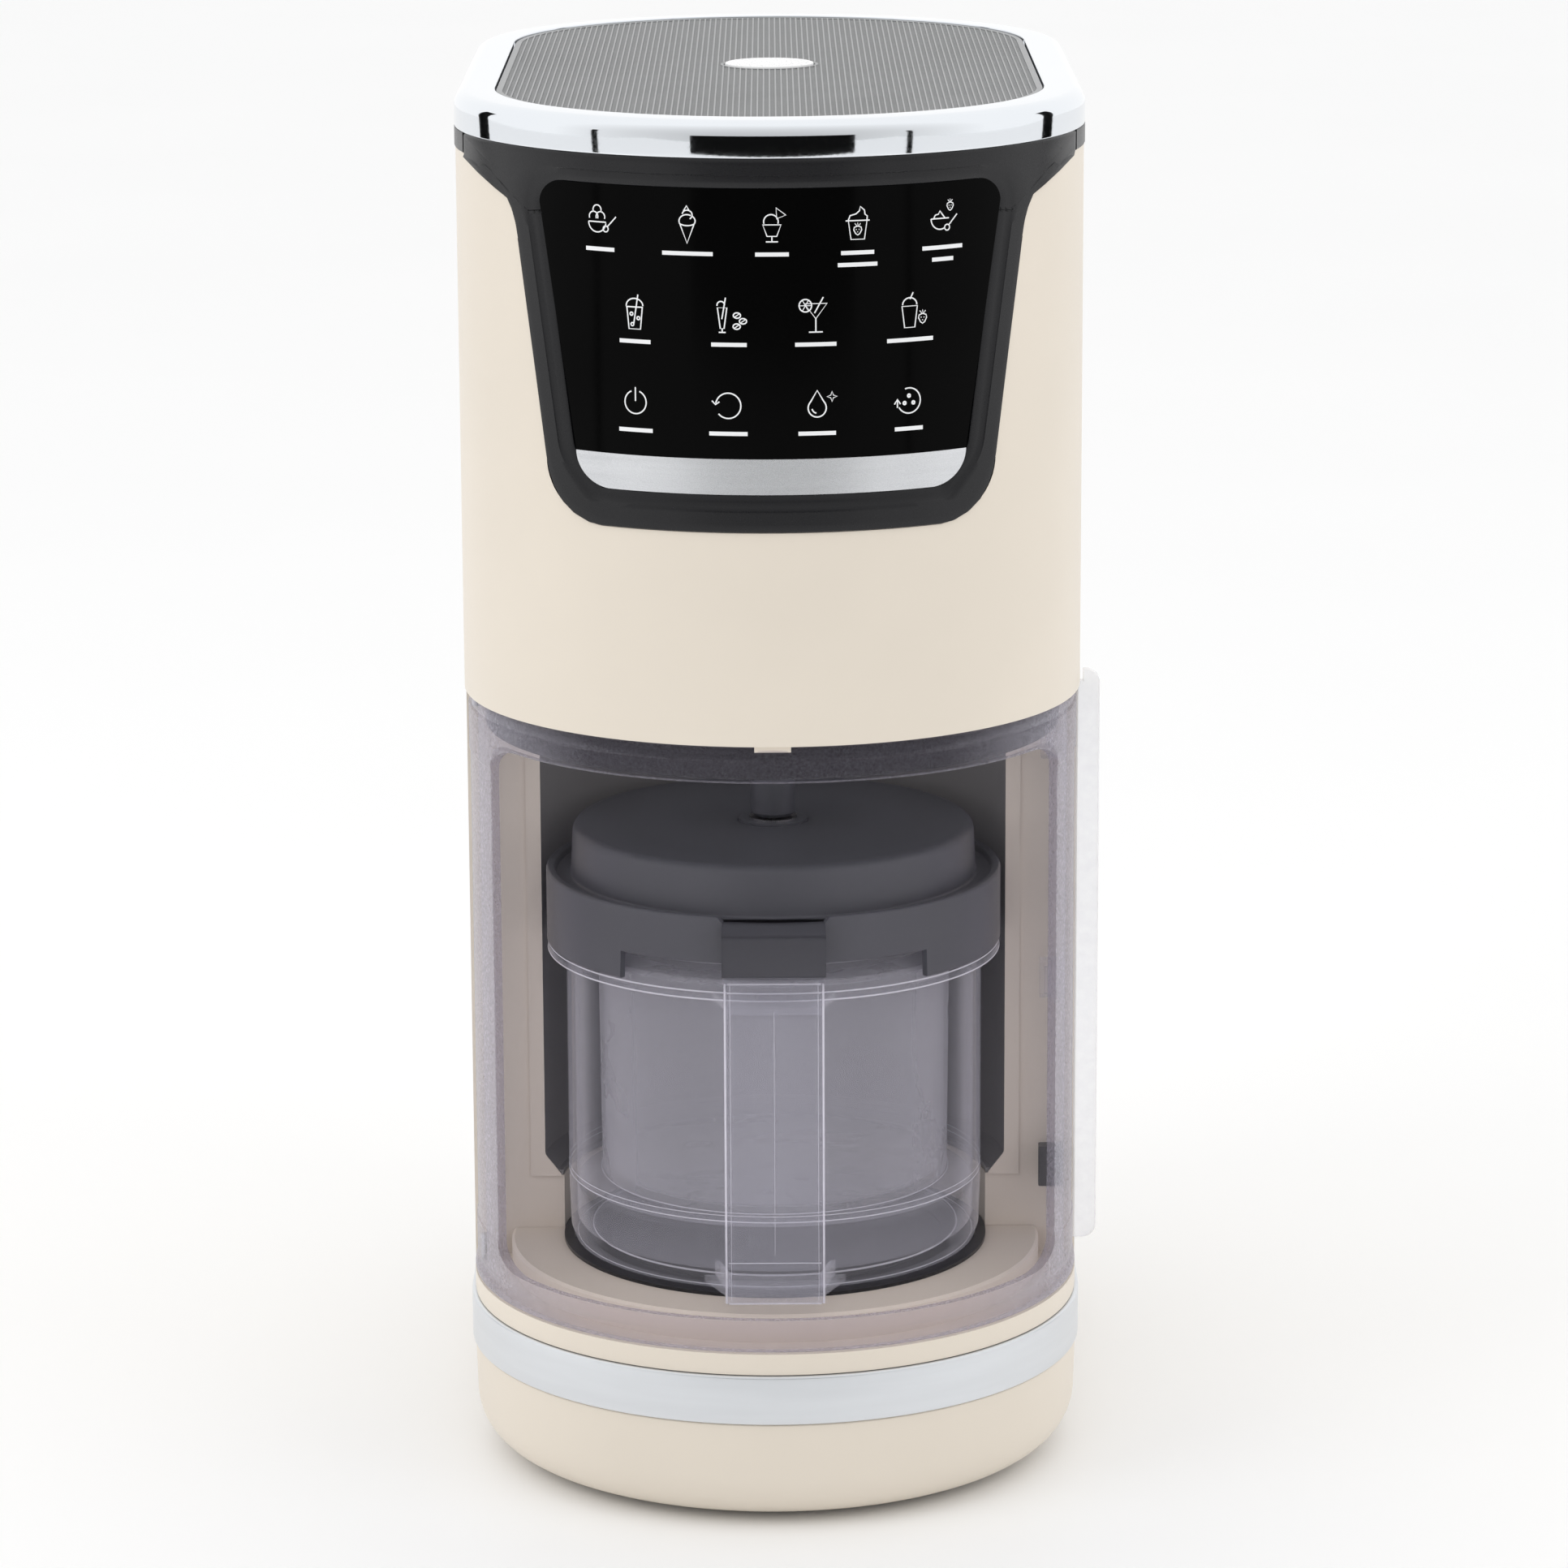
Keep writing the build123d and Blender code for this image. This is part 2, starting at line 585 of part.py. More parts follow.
# ---- Door -----------------------------------------------------------------------------------
WINDOW_LEFT = radians(66.0)
WINDOW_RIGHT = radians(67.5)
WINDOW_BOTTOM = 62.0
WINDOW_TOP = 215.5
DOOR_INNER = DOOR_RADIUS - DOOR_WALL
WINDOW_CORNER = 6.0
KNUCKLE_RADIUS = 2.6
HINGE_DEPTH = 7.0         # how far each hinge pin reaches into the door
LIP = 0.7                 # how far the door's lower lip stands proud


def window_outline():
    left = -DOOR_RADIUS * sin(WINDOW_LEFT)
    right = DOOR_RADIUS * sin(WINDOW_RIGHT)
    with Locations(((left + right) / 2, (WINDOW_TOP + WINDOW_BOTTOM) / 2)):
        RectangleRounded(right - left, WINDOW_TOP - WINDOW_BOTTOM, WINDOW_CORNER)


def door_band(outer, inner):
    """The door's plan: half circle in front and short flat cheeks, in the open sketch."""
    stadium(outer)
    stadium(inner, mode=Mode.SUBTRACT)
    keep_ahead(SPINE_FRONT - 3 * GAP)


with BuildPart() as door_frame:
    with BuildSketch(level(DOOR_BOTTOM)):
        door_band(DOOR_RADIUS, DOOR_INNER)
        with Locations((HINGE_X, HINGE_Y)):
            Rectangle(8, 8, align=(Align.CENTER, Align.MIN), mode=Mode.SUBTRACT)
            Circle(KNUCKLE_RADIUS)
    extrude(amount=DOOR_TOP - DOOR_BOTTOM)
    with BuildSketch(level(DOOR_BOTTOM)):
        door_band(DOOR_RADIUS + LIP, DOOR_RADIUS - 1)
        keep_ahead(HINGE_Y - 6)
    extrude(amount=2.0)
    with BuildSketch(FRONT_VIEW):
        window_outline()
    extrude(amount=BIG, mode=Mode.SUBTRACT)
    with BuildSketch(level(DOOR_BOTTOM, HINGE_X, HINGE_Y)):
        Circle(HINGE_PIN_RADIUS + RUNNING)
    extrude(amount=HINGE_DEPTH + 1, mode=Mode.SUBTRACT)
    with BuildSketch(level(DOOR_TOP, HINGE_X, HINGE_Y)):
        Circle(HINGE_PIN_RADIUS + RUNNING)
    extrude(amount=-HINGE_DEPTH - 1, mode=Mode.SUBTRACT)
    with at(0, -DOOR_RADIUS, DOOR_TOP):
        Box(2 * CATCH_HALF_WIDTH + 1.2, 8, 2 * CATCH_HEIGHT + 0.4, mode=Mode.SUBTRACT)
save(door_frame, "door_frame")

with BuildPart() as door_window:
    with BuildSketch(level(WINDOW_BOTTOM)):
        door_band(DOOR_RADIUS - 0.5, DOOR_INNER + GAP)
    extrude(amount=WINDOW_TOP - WINDOW_BOTTOM)
    with BuildSketch(FRONT_VIEW):
        window_outline()
    extrude(amount=BIG, mode=Mode.INTERSECT)
save(door_window, "door_window")

HANDLE_OUT = 93.8
HANDLE_THICK = 3.0
HANDLE_LOW = 59.0
HANDLE_ROUND = 4.0
with BuildPart() as door_handle:
    with BuildSketch(upright(HANDLE_THICK / 2)):
        with BuildLine():
            top = DOOR_TOP + 3.5
            Polyline(
                (DOOR_RADIUS, HANDLE_LOW),
                (HANDLE_OUT, HANDLE_LOW),
                (HANDLE_OUT, top),
                (BODY_RADIUS + 1.0, top),
                (BODY_RADIUS + 1.0, DOOR_TOP - 0.5),
                (DOOR_RADIUS, DOOR_TOP - 0.5),
                close=True,
            )
        make_face()
    extrude(amount=HANDLE_THICK)
    outer = door_handle.edges().filter_by(Axis.Y).sort_by(Axis.X)[-2:]
    fillet(outer, HANDLE_ROUND)
save(door_handle, "door_handle")

MAGNET_Z = (75.0, 87.0)
CLIP_HEIGHTS = ((132.0, 143.0), (203.0, 211.0))
CLIP_THICK = 2.0
with BuildPart() as door_magnet:
    with BuildSketch(level(MAGNET_Z[0])):
        stadium(DOOR_INNER)
        stadium(DOOR_INNER - CLIP_THICK - GAP, mode=Mode.SUBTRACT)
        keep_ahead(SPINE_FRONT - 2)
        keep_behind(SPINE_FRONT - 9)
        with Locations((40, 0)):
            Rectangle(80, BIG, align=(Align.MIN, Align.CENTER), mode=Mode.INTERSECT)
    extrude(amount=MAGNET_Z[1] - MAGNET_Z[0])
save(door_magnet, "door_magnet")

with BuildPart() as door_clips:
    for low, high in CLIP_HEIGHTS:
        with BuildSketch(level(low)):
            stadium(DOOR_INNER)
            stadium(DOOR_INNER - CLIP_THICK, mode=Mode.SUBTRACT)
            keep_ahead(SPINE_FRONT - 3)
            keep_behind(SPINE_FRONT - 9)
            with Locations((40, 0)):
                Rectangle(80, BIG, align=(Align.MIN, Align.CENTER), mode=Mode.INTERSECT)
        extrude(amount=high - low)
save(door_clips, "door_clips")

with BuildPart() as hinge_pins:
    with BuildSketch(level(BAND_TOP, HINGE_X, HINGE_Y)):
        Circle(HINGE_PIN_RADIUS)
    extrude(amount=DOOR_BOTTOM + HINGE_DEPTH - BAND_TOP)
    with BuildSketch(level(DOOR_TOP - HINGE_DEPTH, HINGE_X, HINGE_Y)):
        Circle(HINGE_PIN_RADIUS)
    extrude(amount=HOUSING_BOTTOM + 3 - DOOR_TOP + HINGE_DEPTH)
save(hinge_pins, "hinge_pins")

# ---- Bowl, tub, lid and blade -----------------------------------------------------------------
BOWL_WALL = 2.2
FLANGE_TOP = BOWL_FLANGE + 2.6
FLANGE_RADIUS = LID_RADIUS - GAP
NECK_RADIUS = 61.4
NECK_WALL = 2.1
FLOOR = 64.2              # underside of the bowl's floor
LEDGE_RADIUS = 47.0       # the tub stands on this ledge
inside = BOWL_RADIUS - BOWL_WALL
with BuildPart() as outer_bowl:
    with BuildSketch(FRONT_VIEW):
        profile([
            (0, FLOOR),
            (53.5, FLOOR),
            (53.5, BOWL_BOTTOM),
            (BOWL_RADIUS - 2.0, BOWL_BOTTOM),
            (BOWL_RADIUS - 0.5, BOWL_BOTTOM + 2.0),
            (BOWL_RADIUS, 78.0),
            (BOWL_RADIUS, BOWL_FLANGE),
            (FLANGE_RADIUS, BOWL_FLANGE),
            (FLANGE_RADIUS, FLANGE_TOP),
            (NECK_RADIUS, FLANGE_TOP),
            (NECK_RADIUS, BOWL_LIP),
            (NECK_RADIUS - NECK_WALL, BOWL_LIP),
            (NECK_RADIUS - NECK_WALL, FLANGE_TOP),
            (inside, FLANGE_TOP),
            (inside, TUB_BOTTOM),
            (LEDGE_RADIUS, TUB_BOTTOM),
            (LEDGE_RADIUS, TUB_BOTTOM - BOWL_WALL),
            (inside, TUB_BOTTOM - BOWL_WALL),
            (inside, FLOOR + 2.4),
            (0, FLOOR + 2.4),
        ])
    revolve(axis=BOWL_AXIS)
save(outer_bowl, "outer_bowl")

HANDLE_WALL = 2.4
HANDLE_BACK = -69.5
HANDLE_BOTTOM = 64.5
HANDLE_FOOT_TOP = 70.5
WEBS = (
    (HANDLE_BOTTOM, HANDLE_FOOT_TOP, 17.0, BOWL_RADIUS),
    (BOWL_FLANGE, FLANGE_TOP, 15.0, FLANGE_RADIUS),
)
with BuildPart() as bowl_handle:
    with BuildSketch(level(HANDLE_BOTTOM)):
        with BuildLine():
            Polyline(
                (-HANDLE_HALF_WIDTH, -HANDLE_FRONT),
                (HANDLE_HALF_WIDTH, -HANDLE_FRONT),
                (HANDLE_HALF_WIDTH, HANDLE_BACK),
                (HANDLE_HALF_WIDTH - HANDLE_WALL, HANDLE_BACK),
                (HANDLE_HALF_WIDTH - HANDLE_WALL, -HANDLE_FRONT + HANDLE_WALL),
                (-HANDLE_HALF_WIDTH + HANDLE_WALL, -HANDLE_FRONT + HANDLE_WALL),
                (-HANDLE_HALF_WIDTH + HANDLE_WALL, HANDLE_BACK),
                (-HANDLE_HALF_WIDTH, HANDLE_BACK),
                close=True,
            )
        make_face()
    extrude(amount=BOWL_LIP + 0.3 - HANDLE_BOTTOM)
    front_edges = bowl_handle.edges().filter_by(Axis.Z).group_by(Axis.Y)[0]
    fillet(front_edges, 1.6)
    # Webs from the grip to the foot of the bowl and to its flange.
    for low, high, half, root in WEBS:
        with BuildSketch(level(low)):
            with BuildLine():
                Polyline(
                    (-HANDLE_HALF_WIDTH + 0.5, -HANDLE_FRONT + 2),
                    (HANDLE_HALF_WIDTH - 0.5, -HANDLE_FRONT + 2),
                    (half, -50),
                    (-half, -50),
                    close=True,
                )
            make_face()
            Circle(root, mode=Mode.SUBTRACT)
        extrude(amount=high - low)
save(bowl_handle, "bowl_handle")

TUB_WALL = 1.6
TUB_RIM = NECK_RADIUS - NECK_WALL - GAP
with BuildPart() as inner_tub:
    with BuildSketch(FRONT_VIEW):
        profile([
            (0, TUB_BOTTOM),
            (TUB_RADIUS - 1.5, TUB_BOTTOM),
            (TUB_RADIUS, TUB_BOTTOM + 1.5),
            (TUB_RADIUS, FLANGE_TOP + GAP),
            (TUB_RIM, FLANGE_TOP + GAP),
            (TUB_RIM, FLANGE_TOP + GAP + TUB_WALL),
            (TUB_RADIUS - TUB_WALL, FLANGE_TOP + GAP + TUB_WALL),
            (TUB_RADIUS - TUB_WALL, TUB_BOTTOM + 3.0),
            (TUB_RADIUS - 3.0, TUB_BOTTOM + 1.8),
            (0, TUB_BOTTOM + 1.8),
        ])
    revolve(axis=BOWL_AXIS)
save(inner_tub, "inner_tub")

LID_WALL = 2.2
BUSH_RADIUS = 10.0
NOTCH_ANGLE = 41.0
NOTCH_INNER = 62.5
SEAL_OUTER = 61.6
SEAL_INNER = 58.8
SEAL_TOP = 160.7
TAB_HALF_WIDTH = 14.4
TAB_BOTTOM = BOWL_LIP + 0.9
with BuildPart() as bowl_lid:
    with BuildSketch(FRONT_VIEW):
        profile([
            (LID_RADIUS - LID_WALL, LID_BOTTOM),
            (LID_RADIUS, LID_BOTTOM),
            (LID_RADIUS, LID_SHOULDER - 1.5),
            (LID_RADIUS - 1.5, LID_SHOULDER),
            (TURRET_RADIUS, LID_SHOULDER),
            (TURRET_RADIUS, LID_TOP - 5),
            (TURRET_RADIUS - 1.5, LID_TOP - 1.5),
            (TURRET_RADIUS - 5, LID_TOP),
            (BUSH_RADIUS, LID_TOP),
            (BUSH_RADIUS, LID_SHOULDER),
            (BUSH_RADIUS + 3, LID_SHOULDER),
            (BUSH_RADIUS + 3, LID_TOP - LID_WALL),
            (TURRET_RADIUS - 6, LID_TOP - LID_WALL),
            (TURRET_RADIUS - LID_WALL, LID_TOP - 6),
            (TURRET_RADIUS - LID_WALL, LID_SHOULDER - LID_WALL),
            (SEAL_INNER, LID_SHOULDER - LID_WALL),
            (SEAL_INNER, SEAL_TOP),
            (SEAL_OUTER, SEAL_TOP),
            (SEAL_OUTER, LID_SHOULDER - LID_WALL),
            (LID_RADIUS - LID_WALL, LID_SHOULDER - LID_WALL),
        ])
    revolve(axis=BOWL_AXIS)
    # Clearance in the skirt for the top of the handle, as far as the lid twists each way.
    reach = 80.0
    with BuildSketch(level(LID_BOTTOM)):
        with BuildLine():
            Polyline(
                (0, 0),
                (-reach * sin(radians(NOTCH_ANGLE)), -reach * cos(radians(NOTCH_ANGLE))),
                (0, -reach / cos(radians(NOTCH_ANGLE))),
                (reach * sin(radians(NOTCH_ANGLE)), -reach * cos(radians(NOTCH_ANGLE))),
                close=True,
            )
        make_face()
        Circle(NOTCH_INNER, mode=Mode.SUBTRACT)
    extrude(amount=TAB_BOTTOM - 0.1 - LID_BOTTOM, mode=Mode.SUBTRACT)
    # Thumb tab over the handle.
    with BuildSketch(level(TAB_BOTTOM)):
        Rectangle(2 * TAB_HALF_WIDTH, HANDLE_FRONT, align=(Align.CENTER, Align.MAX))
        Circle(LID_RADIUS - LID_WALL + 0.5, mode=Mode.SUBTRACT)
    extrude(amount=LID_SHOULDER + 0.4 - TAB_BOTTOM)
    tab_edges = bowl_lid.edges().filter_by(Axis.Z).group_by(Axis.Y)[0]
    fillet(tab_edges, 1.5)
save(bowl_lid, "bowl_lid")

with BuildPart() as lid_seal:
    with BuildSketch(level(BOWL_LIP + GAP)):
        Circle(SEAL_OUTER)
        Circle(SEAL_INNER, mode=Mode.SUBTRACT)
    extrude(amount=SEAL_TOP - BOWL_LIP - GAP)
save(lid_seal, "lid_seal")

with BuildPart() as drive_sleeve:
    with BuildSketch(level(LID_SHOULDER)):
        Circle(BUSH_RADIUS - RUNNING)
        Circle(SPINDLE_RADIUS + 0.5, mode=Mode.SUBTRACT)
    extrude(amount=LID_TOP + 0.6 - LID_SHOULDER)
save(drive_sleeve, "drive_sleeve")

BLADE_BOTTOM = 158.0
BLADE_REACH = 48.2
BLADE_HUB = 9.0
HUB_HEIGHT = 10.0
BLADE_PITCH = radians(25.0)
BLADE_THICK = 2.4
SHAFT_RADIUS = SPINDLE_RADIUS + 0.42
with BuildPart() as mixing_blade:
    with BuildSketch(level(BLADE_BOTTOM)):
        Circle(BLADE_HUB)
    extrude(amount=HUB_HEIGHT)
    with BuildSketch(level(BLADE_BOTTOM + HUB_HEIGHT)):
        Circle(SHAFT_RADIUS)
    extrude(amount=LID_TOP + 1.1 - BLADE_BOTTOM - HUB_HEIGHT)
    for turn in (0, 180):
        along = (cos(radians(turn)), sin(radians(turn)), 0)
        lean = sin(BLADE_PITCH)
        arm = Plane(
            origin=(BOWL_X, BOWL_Y, BLADE_BOTTOM + 4.5),
            x_dir=along,
            z_dir=(-along[1] * lean, along[0] * lean, cos(BLADE_PITCH)),
        )
        with BuildSketch(arm):
            with Locations((6, 0)):
                Rectangle(BLADE_REACH - 8, 9, align=(Align.MIN, Align.CENTER))
        extrude(amount=BLADE_THICK / 2, both=True)
        with BuildSketch(level(BLADE_BOTTOM + 0.8)):
            with PolarLocations(BLADE_REACH - 3.4, 1, start_angle=turn):
                Rectangle(3.2, 11)
        extrude(amount=HUB_HEIGHT)
save(mixing_blade, "mixing_blade")

# ---- Drive: carriage, spindle, main motor -------------------------------------------------------
PLATE = 4.0
GEAR_LOW = CARRIAGE_BOTTOM + PLATE + 2.0
GEAR_HIGH = GEAR_LOW + 8.0
UPPER_PLATE = GEAR_HIGH + 2.0
UPPER_PLATE_TOP = UPPER_PLATE + 3.0
MOTOR_TOP = 381.0
MOTOR_RADIUS = 28.0
SPACER_POINTS = [(-46, 50), (46, 50), (-46, 98), (46, 98)]
BEARING_RADIUS = 11.0
NUT_RADIUS = 9.0
BUSH_OUTER = 8.0


def carriage_outline():
    Circle(54)
    with Locations((0, 55)):
        RectangleRounded(108, 110, 8)
    with Locations((0, ROD_Y)):
        SlotOverall(2 * ROD_X + 22, 22)


with BuildPart() as mid_plate:
    with BuildSketch(level(HOUSING_BOTTOM)):
        stadium(BODY_RADIUS - WALL - 0.1)
        Circle(SPINDLE_OPENING, mode=Mode.SUBTRACT)
        with Locations((-ROD_X, ROD_Y), (ROD_X, ROD_Y)):
            Circle(ROD_RADIUS, mode=Mode.SUBTRACT)
        with Locations((0, SCREW_Y)):
            Circle(ROD_RADIUS + RUNNING, mode=Mode.SUBTRACT)
        with Locations((0, 170)):
            SlotOverall(50, 16, mode=Mode.SUBTRACT)
        with Locations((HINGE_X, HINGE_Y)):
            Circle(HINGE_PIN_RADIUS, mode=Mode.SUBTRACT)
    extrude(amount=3)
save(mid_plate, "mid_plate")

with BuildPart() as guide_rods:
    with BuildSketch(level(HOUSING_BOTTOM)):
        with Locations((-ROD_X, ROD_Y), (ROD_X, ROD_Y)):
            Circle(ROD_RADIUS)
    extrude(amount=BEZEL_BOTTOM - HOUSING_BOTTOM)
save(guide_rods, "guide_rods")

with BuildPart() as carriage_plate:
    with BuildSketch(level(CARRIAGE_BOTTOM)):
        carriage_outline()
        Circle(BEARING_RADIUS, mode=Mode.SUBTRACT)
        with Locations((0, SCREW_Y)):
            Circle(NUT_RADIUS, mode=Mode.SUBTRACT)
        with Locations((0, MOTOR_Y)):
            Circle(6, mode=Mode.SUBTRACT)
        with Locations((-ROD_X, ROD_Y), (ROD_X, ROD_Y)):
            Circle(BUSH_OUTER, mode=Mode.SUBTRACT)
    extrude(amount=PLATE)
save(carriage_plate, "carriage_plate")

with BuildPart() as gearbox_plate:
    with BuildSketch(level(UPPER_PLATE)):
        carriage_outline()
        Circle(BEARING_RADIUS, mode=Mode.SUBTRACT)
        with Locations((0, SCREW_Y)):
            Circle(NUT_RADIUS + 6, mode=Mode.SUBTRACT)
        with Locations((0, MOTOR_Y)):
            Circle(14.5, mode=Mode.SUBTRACT)
        with Locations((-ROD_X, ROD_Y), (ROD_X, ROD_Y)):
            Circle(BUSH_OUTER, mode=Mode.SUBTRACT)
    extrude(amount=UPPER_PLATE_TOP - UPPER_PLATE)
save(gearbox_plate, "gearbox_plate")

with BuildPart() as plate_spacers:
    with BuildSketch(level(CARRIAGE_BOTTOM + PLATE)):
        with Locations(*SPACER_POINTS):
            Circle(4)
    extrude(amount=UPPER_PLATE - CARRIAGE_BOTTOM - PLATE)
save(plate_spacers, "plate_spacers")

with BuildPart() as plate_screws:
    with BuildSketch(level(UPPER_PLATE_TOP)):
        with Locations(*SPACER_POINTS):
            RegularPolygon(4.2, 6)
    extrude(amount=3)
save(plate_screws, "plate_screws")

with BuildPart() as guide_bushes:
    with BuildSketch(level(CARRIAGE_BOTTOM - 1)):
        with Locations((-ROD_X, ROD_Y), (ROD_X, ROD_Y)):
            Circle(BUSH_OUTER)
            Circle(ROD_RADIUS + RUNNING, mode=Mode.SUBTRACT)
    extrude(amount=UPPER_PLATE_TOP + 2 - CARRIAGE_BOTTOM)
save(guide_bushes, "guide_bushes")

with BuildPart() as lead_nut:
    with BuildSketch(level(CARRIAGE_BOTTOM - 2)):
        with Locations((0, SCREW_Y)):
            Circle(NUT_RADIUS)
    extrude(amount=14)
    with BuildSketch(level(CARRIAGE_BOTTOM + PLATE)):
        with Locations((0, SCREW_Y)):
            Circle(NUT_RADIUS + 5)
    extrude(amount=3)
    with BuildSketch(level(CARRIAGE_BOTTOM - 2)):
        with Locations((0, SCREW_Y)):
            Circle(ROD_RADIUS + 0.08)
    extrude(amount=16, mode=Mode.SUBTRACT)
save(lead_nut, "lead_nut")

with BuildPart() as spindle_bearings:
    for low, thick in ((CARRIAGE_BOTTOM, PLATE), (UPPER_PLATE, UPPER_PLATE_TOP - UPPER_PLATE)):
        with BuildSketch(level(low)):
            Circle(BEARING_RADIUS)
            Circle(SPINDLE_RADIUS + RUNNING, mode=Mode.SUBTRACT)
        extrude(amount=thick)
save(spindle_bearings, "spindle_bearings")

with BuildPart() as drive_spindle:
    with BuildSketch(level(SPINDLE_TIP)):
        Circle(SPINDLE_RADIUS)
    extrude(amount=UPPER_PLATE_TOP + 2 - SPINDLE_TIP)
    chamfer(drive_spindle.edges().group_by(Axis.Z)[0], 1.0)
    with BuildSketch(level(SPINDLE_TIP)):
        RegularPolygon(3.6, 6)
    extrude(amount=9, mode=Mode.SUBTRACT)
save(drive_spindle, "drive_spindle")

with BuildPart() as spindle_gear:
    with BuildSketch(level(GEAR_LOW)):
        gear_outline(SPINDLE_TEETH, MODULE)
        Circle(SPINDLE_RADIUS, mode=Mode.SUBTRACT)
        with PolarLocations(28, 6):
            Circle(7, mode=Mode.SUBTRACT)
    extrude(amount=GEAR_HIGH - GEAR_LOW)
save(spindle_gear, "spindle_gear")

SHAFT = 4.0
CAN_WALL = 1.2
END_WALL = 1.5
ROTOR_RADIUS = 20.0
CORE_LOW = UPPER_PLATE_TOP + 6
CORE_LENGTH = 34.0
with BuildPart() as motor_can:
    with BuildSketch(level(UPPER_PLATE_TOP)):
        with Locations((0, MOTOR_Y)):
            Circle(MOTOR_RADIUS)
    extrude(amount=MOTOR_TOP - UPPER_PLATE_TOP)
    fillet(motor_can.edges().group_by(Axis.Z)[-1], 2)
    with BuildSketch(level(UPPER_PLATE_TOP + END_WALL)):
        with Locations((0, MOTOR_Y)):
            Circle(MOTOR_RADIUS - CAN_WALL)
    extrude(amount=MOTOR_TOP - UPPER_PLATE_TOP - 2 * END_WALL, mode=Mode.SUBTRACT)
    with BuildSketch(level(UPPER_PLATE_TOP)):
        with Locations((0, MOTOR_Y)):
            Circle(SHAFT + RUNNING)
    extrude(amount=END_WALL, mode=Mode.SUBTRACT)
    with BuildSketch(level(MOTOR_TOP)):
        with Locations((0, MOTOR_Y)):
            with PolarLocations(16, 8):
                SlotOverall(12, 3.5)
            Circle(SHAFT + RUNNING)
    extrude(amount=-END_WALL, mode=Mode.SUBTRACT)
save(motor_can, "motor_can")

with BuildPart() as motor_stator:
    with BuildSketch(level(CORE_LOW)):
        with Locations((0, MOTOR_Y)):
            Circle(MOTOR_RADIUS - CAN_WALL)
            Circle(ROTOR_RADIUS + 2 * GAP, mode=Mode.SUBTRACT)
            with PolarLocations(ROTOR_RADIUS + 2 * GAP, 6):
                Rectangle(3.6, 4, mode=Mode.SUBTRACT)
    extrude(amount=CORE_LENGTH)
save(motor_stator, "motor_stator")

with BuildPart() as motor_rotor:
    with BuildSketch(level(GEAR_LOW - 1)):
        with Locations((0, MOTOR_Y)):
            Circle(SHAFT)
    extrude(amount=MOTOR_TOP + 1 - GEAR_LOW)
    with BuildSketch(level(CORE_LOW)):
        with Locations((0, MOTOR_Y)):
            Circle(ROTOR_RADIUS)
            with PolarLocations(17.5, 9):
                Rectangle(5, 3, mode=Mode.SUBTRACT)
    extrude(amount=CORE_LENGTH)
save(motor_rotor, "motor_rotor")

with BuildPart() as motor_pinion:
    pinion_plane = Plane(
        origin=(BOWL_X, BOWL_Y + MOTOR_Y, GEAR_LOW),
        x_dir=(cos(radians(90 + 180 / PINION_TEETH)), sin(radians(90 + 180 / PINION_TEETH)), 0),
        z_dir=(0, 0, 1),
    )
    with BuildSketch(pinion_plane):
        gear_outline(PINION_TEETH, MODULE)
        Circle(SHAFT, mode=Mode.SUBTRACT)
    extrude(amount=GEAR_HIGH - GEAR_LOW)
save(motor_pinion, "motor_pinion")

with BuildPart() as motor_fan:
    with BuildSketch(level(MOTOR_TOP - 14)):
        with Locations((0, MOTOR_Y)):
            Circle(7)
            with PolarLocations(14, 9):
                Rectangle(18, 1.6, rotation=25)
            Circle(SHAFT, mode=Mode.SUBTRACT)
    extrude(amount=8)
save(motor_fan, "motor_fan")

# ---- Drive: lift screw and its motor --------------------------------------------------------------
BRACKET_Z = 206.0
BRACKET_THICK = 3.0
LIFT_SHAFT = 3.0
LIFT_MOTOR_LENGTH = 46.0
LIFT_GEAR_LOW = 212.0
LIFT_GEAR_HIGH = 219.0
LIFT_X = LIFT_MODULE * (LIFT_PINION_TEETH + SCREW_TEETH) / 2
LIFT_MOTOR_RADIUS = 17.0

with BuildPart() as lead_screw:
    with BuildSketch(level(BRACKET_Z)):
        with Locations((0, SCREW_Y)):
            Circle(ROD_RADIUS)
    extrude(amount=BEZEL_BOTTOM - 1 - BRACKET_Z)
    chamfer(lead_screw.edges().group_by(Axis.Z)[-1], 0.8)
save(lead_screw, "lead_screw")

with BuildPart() as screw_gear:
    with BuildSketch(level(LIFT_GEAR_LOW, 0, SCREW_Y)):
        gear_outline(SCREW_TEETH, LIFT_MODULE)
        Circle(ROD_RADIUS, mode=Mode.SUBTRACT)
    extrude(amount=LIFT_GEAR_HIGH - LIFT_GEAR_LOW)
save(screw_gear, "screw_gear")

with BuildPart() as lift_pinion:
    half_tooth = radians(180 + 180 / LIFT_PINION_TEETH)
    lift_plane = Plane(
        origin=(BOWL_X + LIFT_X, BOWL_Y + SCREW_Y, LIFT_GEAR_LOW),
        x_dir=(cos(half_tooth), sin(half_tooth), 0),
        z_dir=(0, 0, 1),
    )
    with BuildSketch(lift_plane):
        gear_outline(LIFT_PINION_TEETH, LIFT_MODULE)
    extrude(amount=LIFT_GEAR_HIGH - LIFT_GEAR_LOW)
    with BuildSketch(level(BRACKET_Z - 3, LIFT_X, SCREW_Y)):
        Circle(LIFT_SHAFT)
    extrude(amount=LIFT_GEAR_LOW - BRACKET_Z + 3)
save(lift_pinion, "lift_pinion")

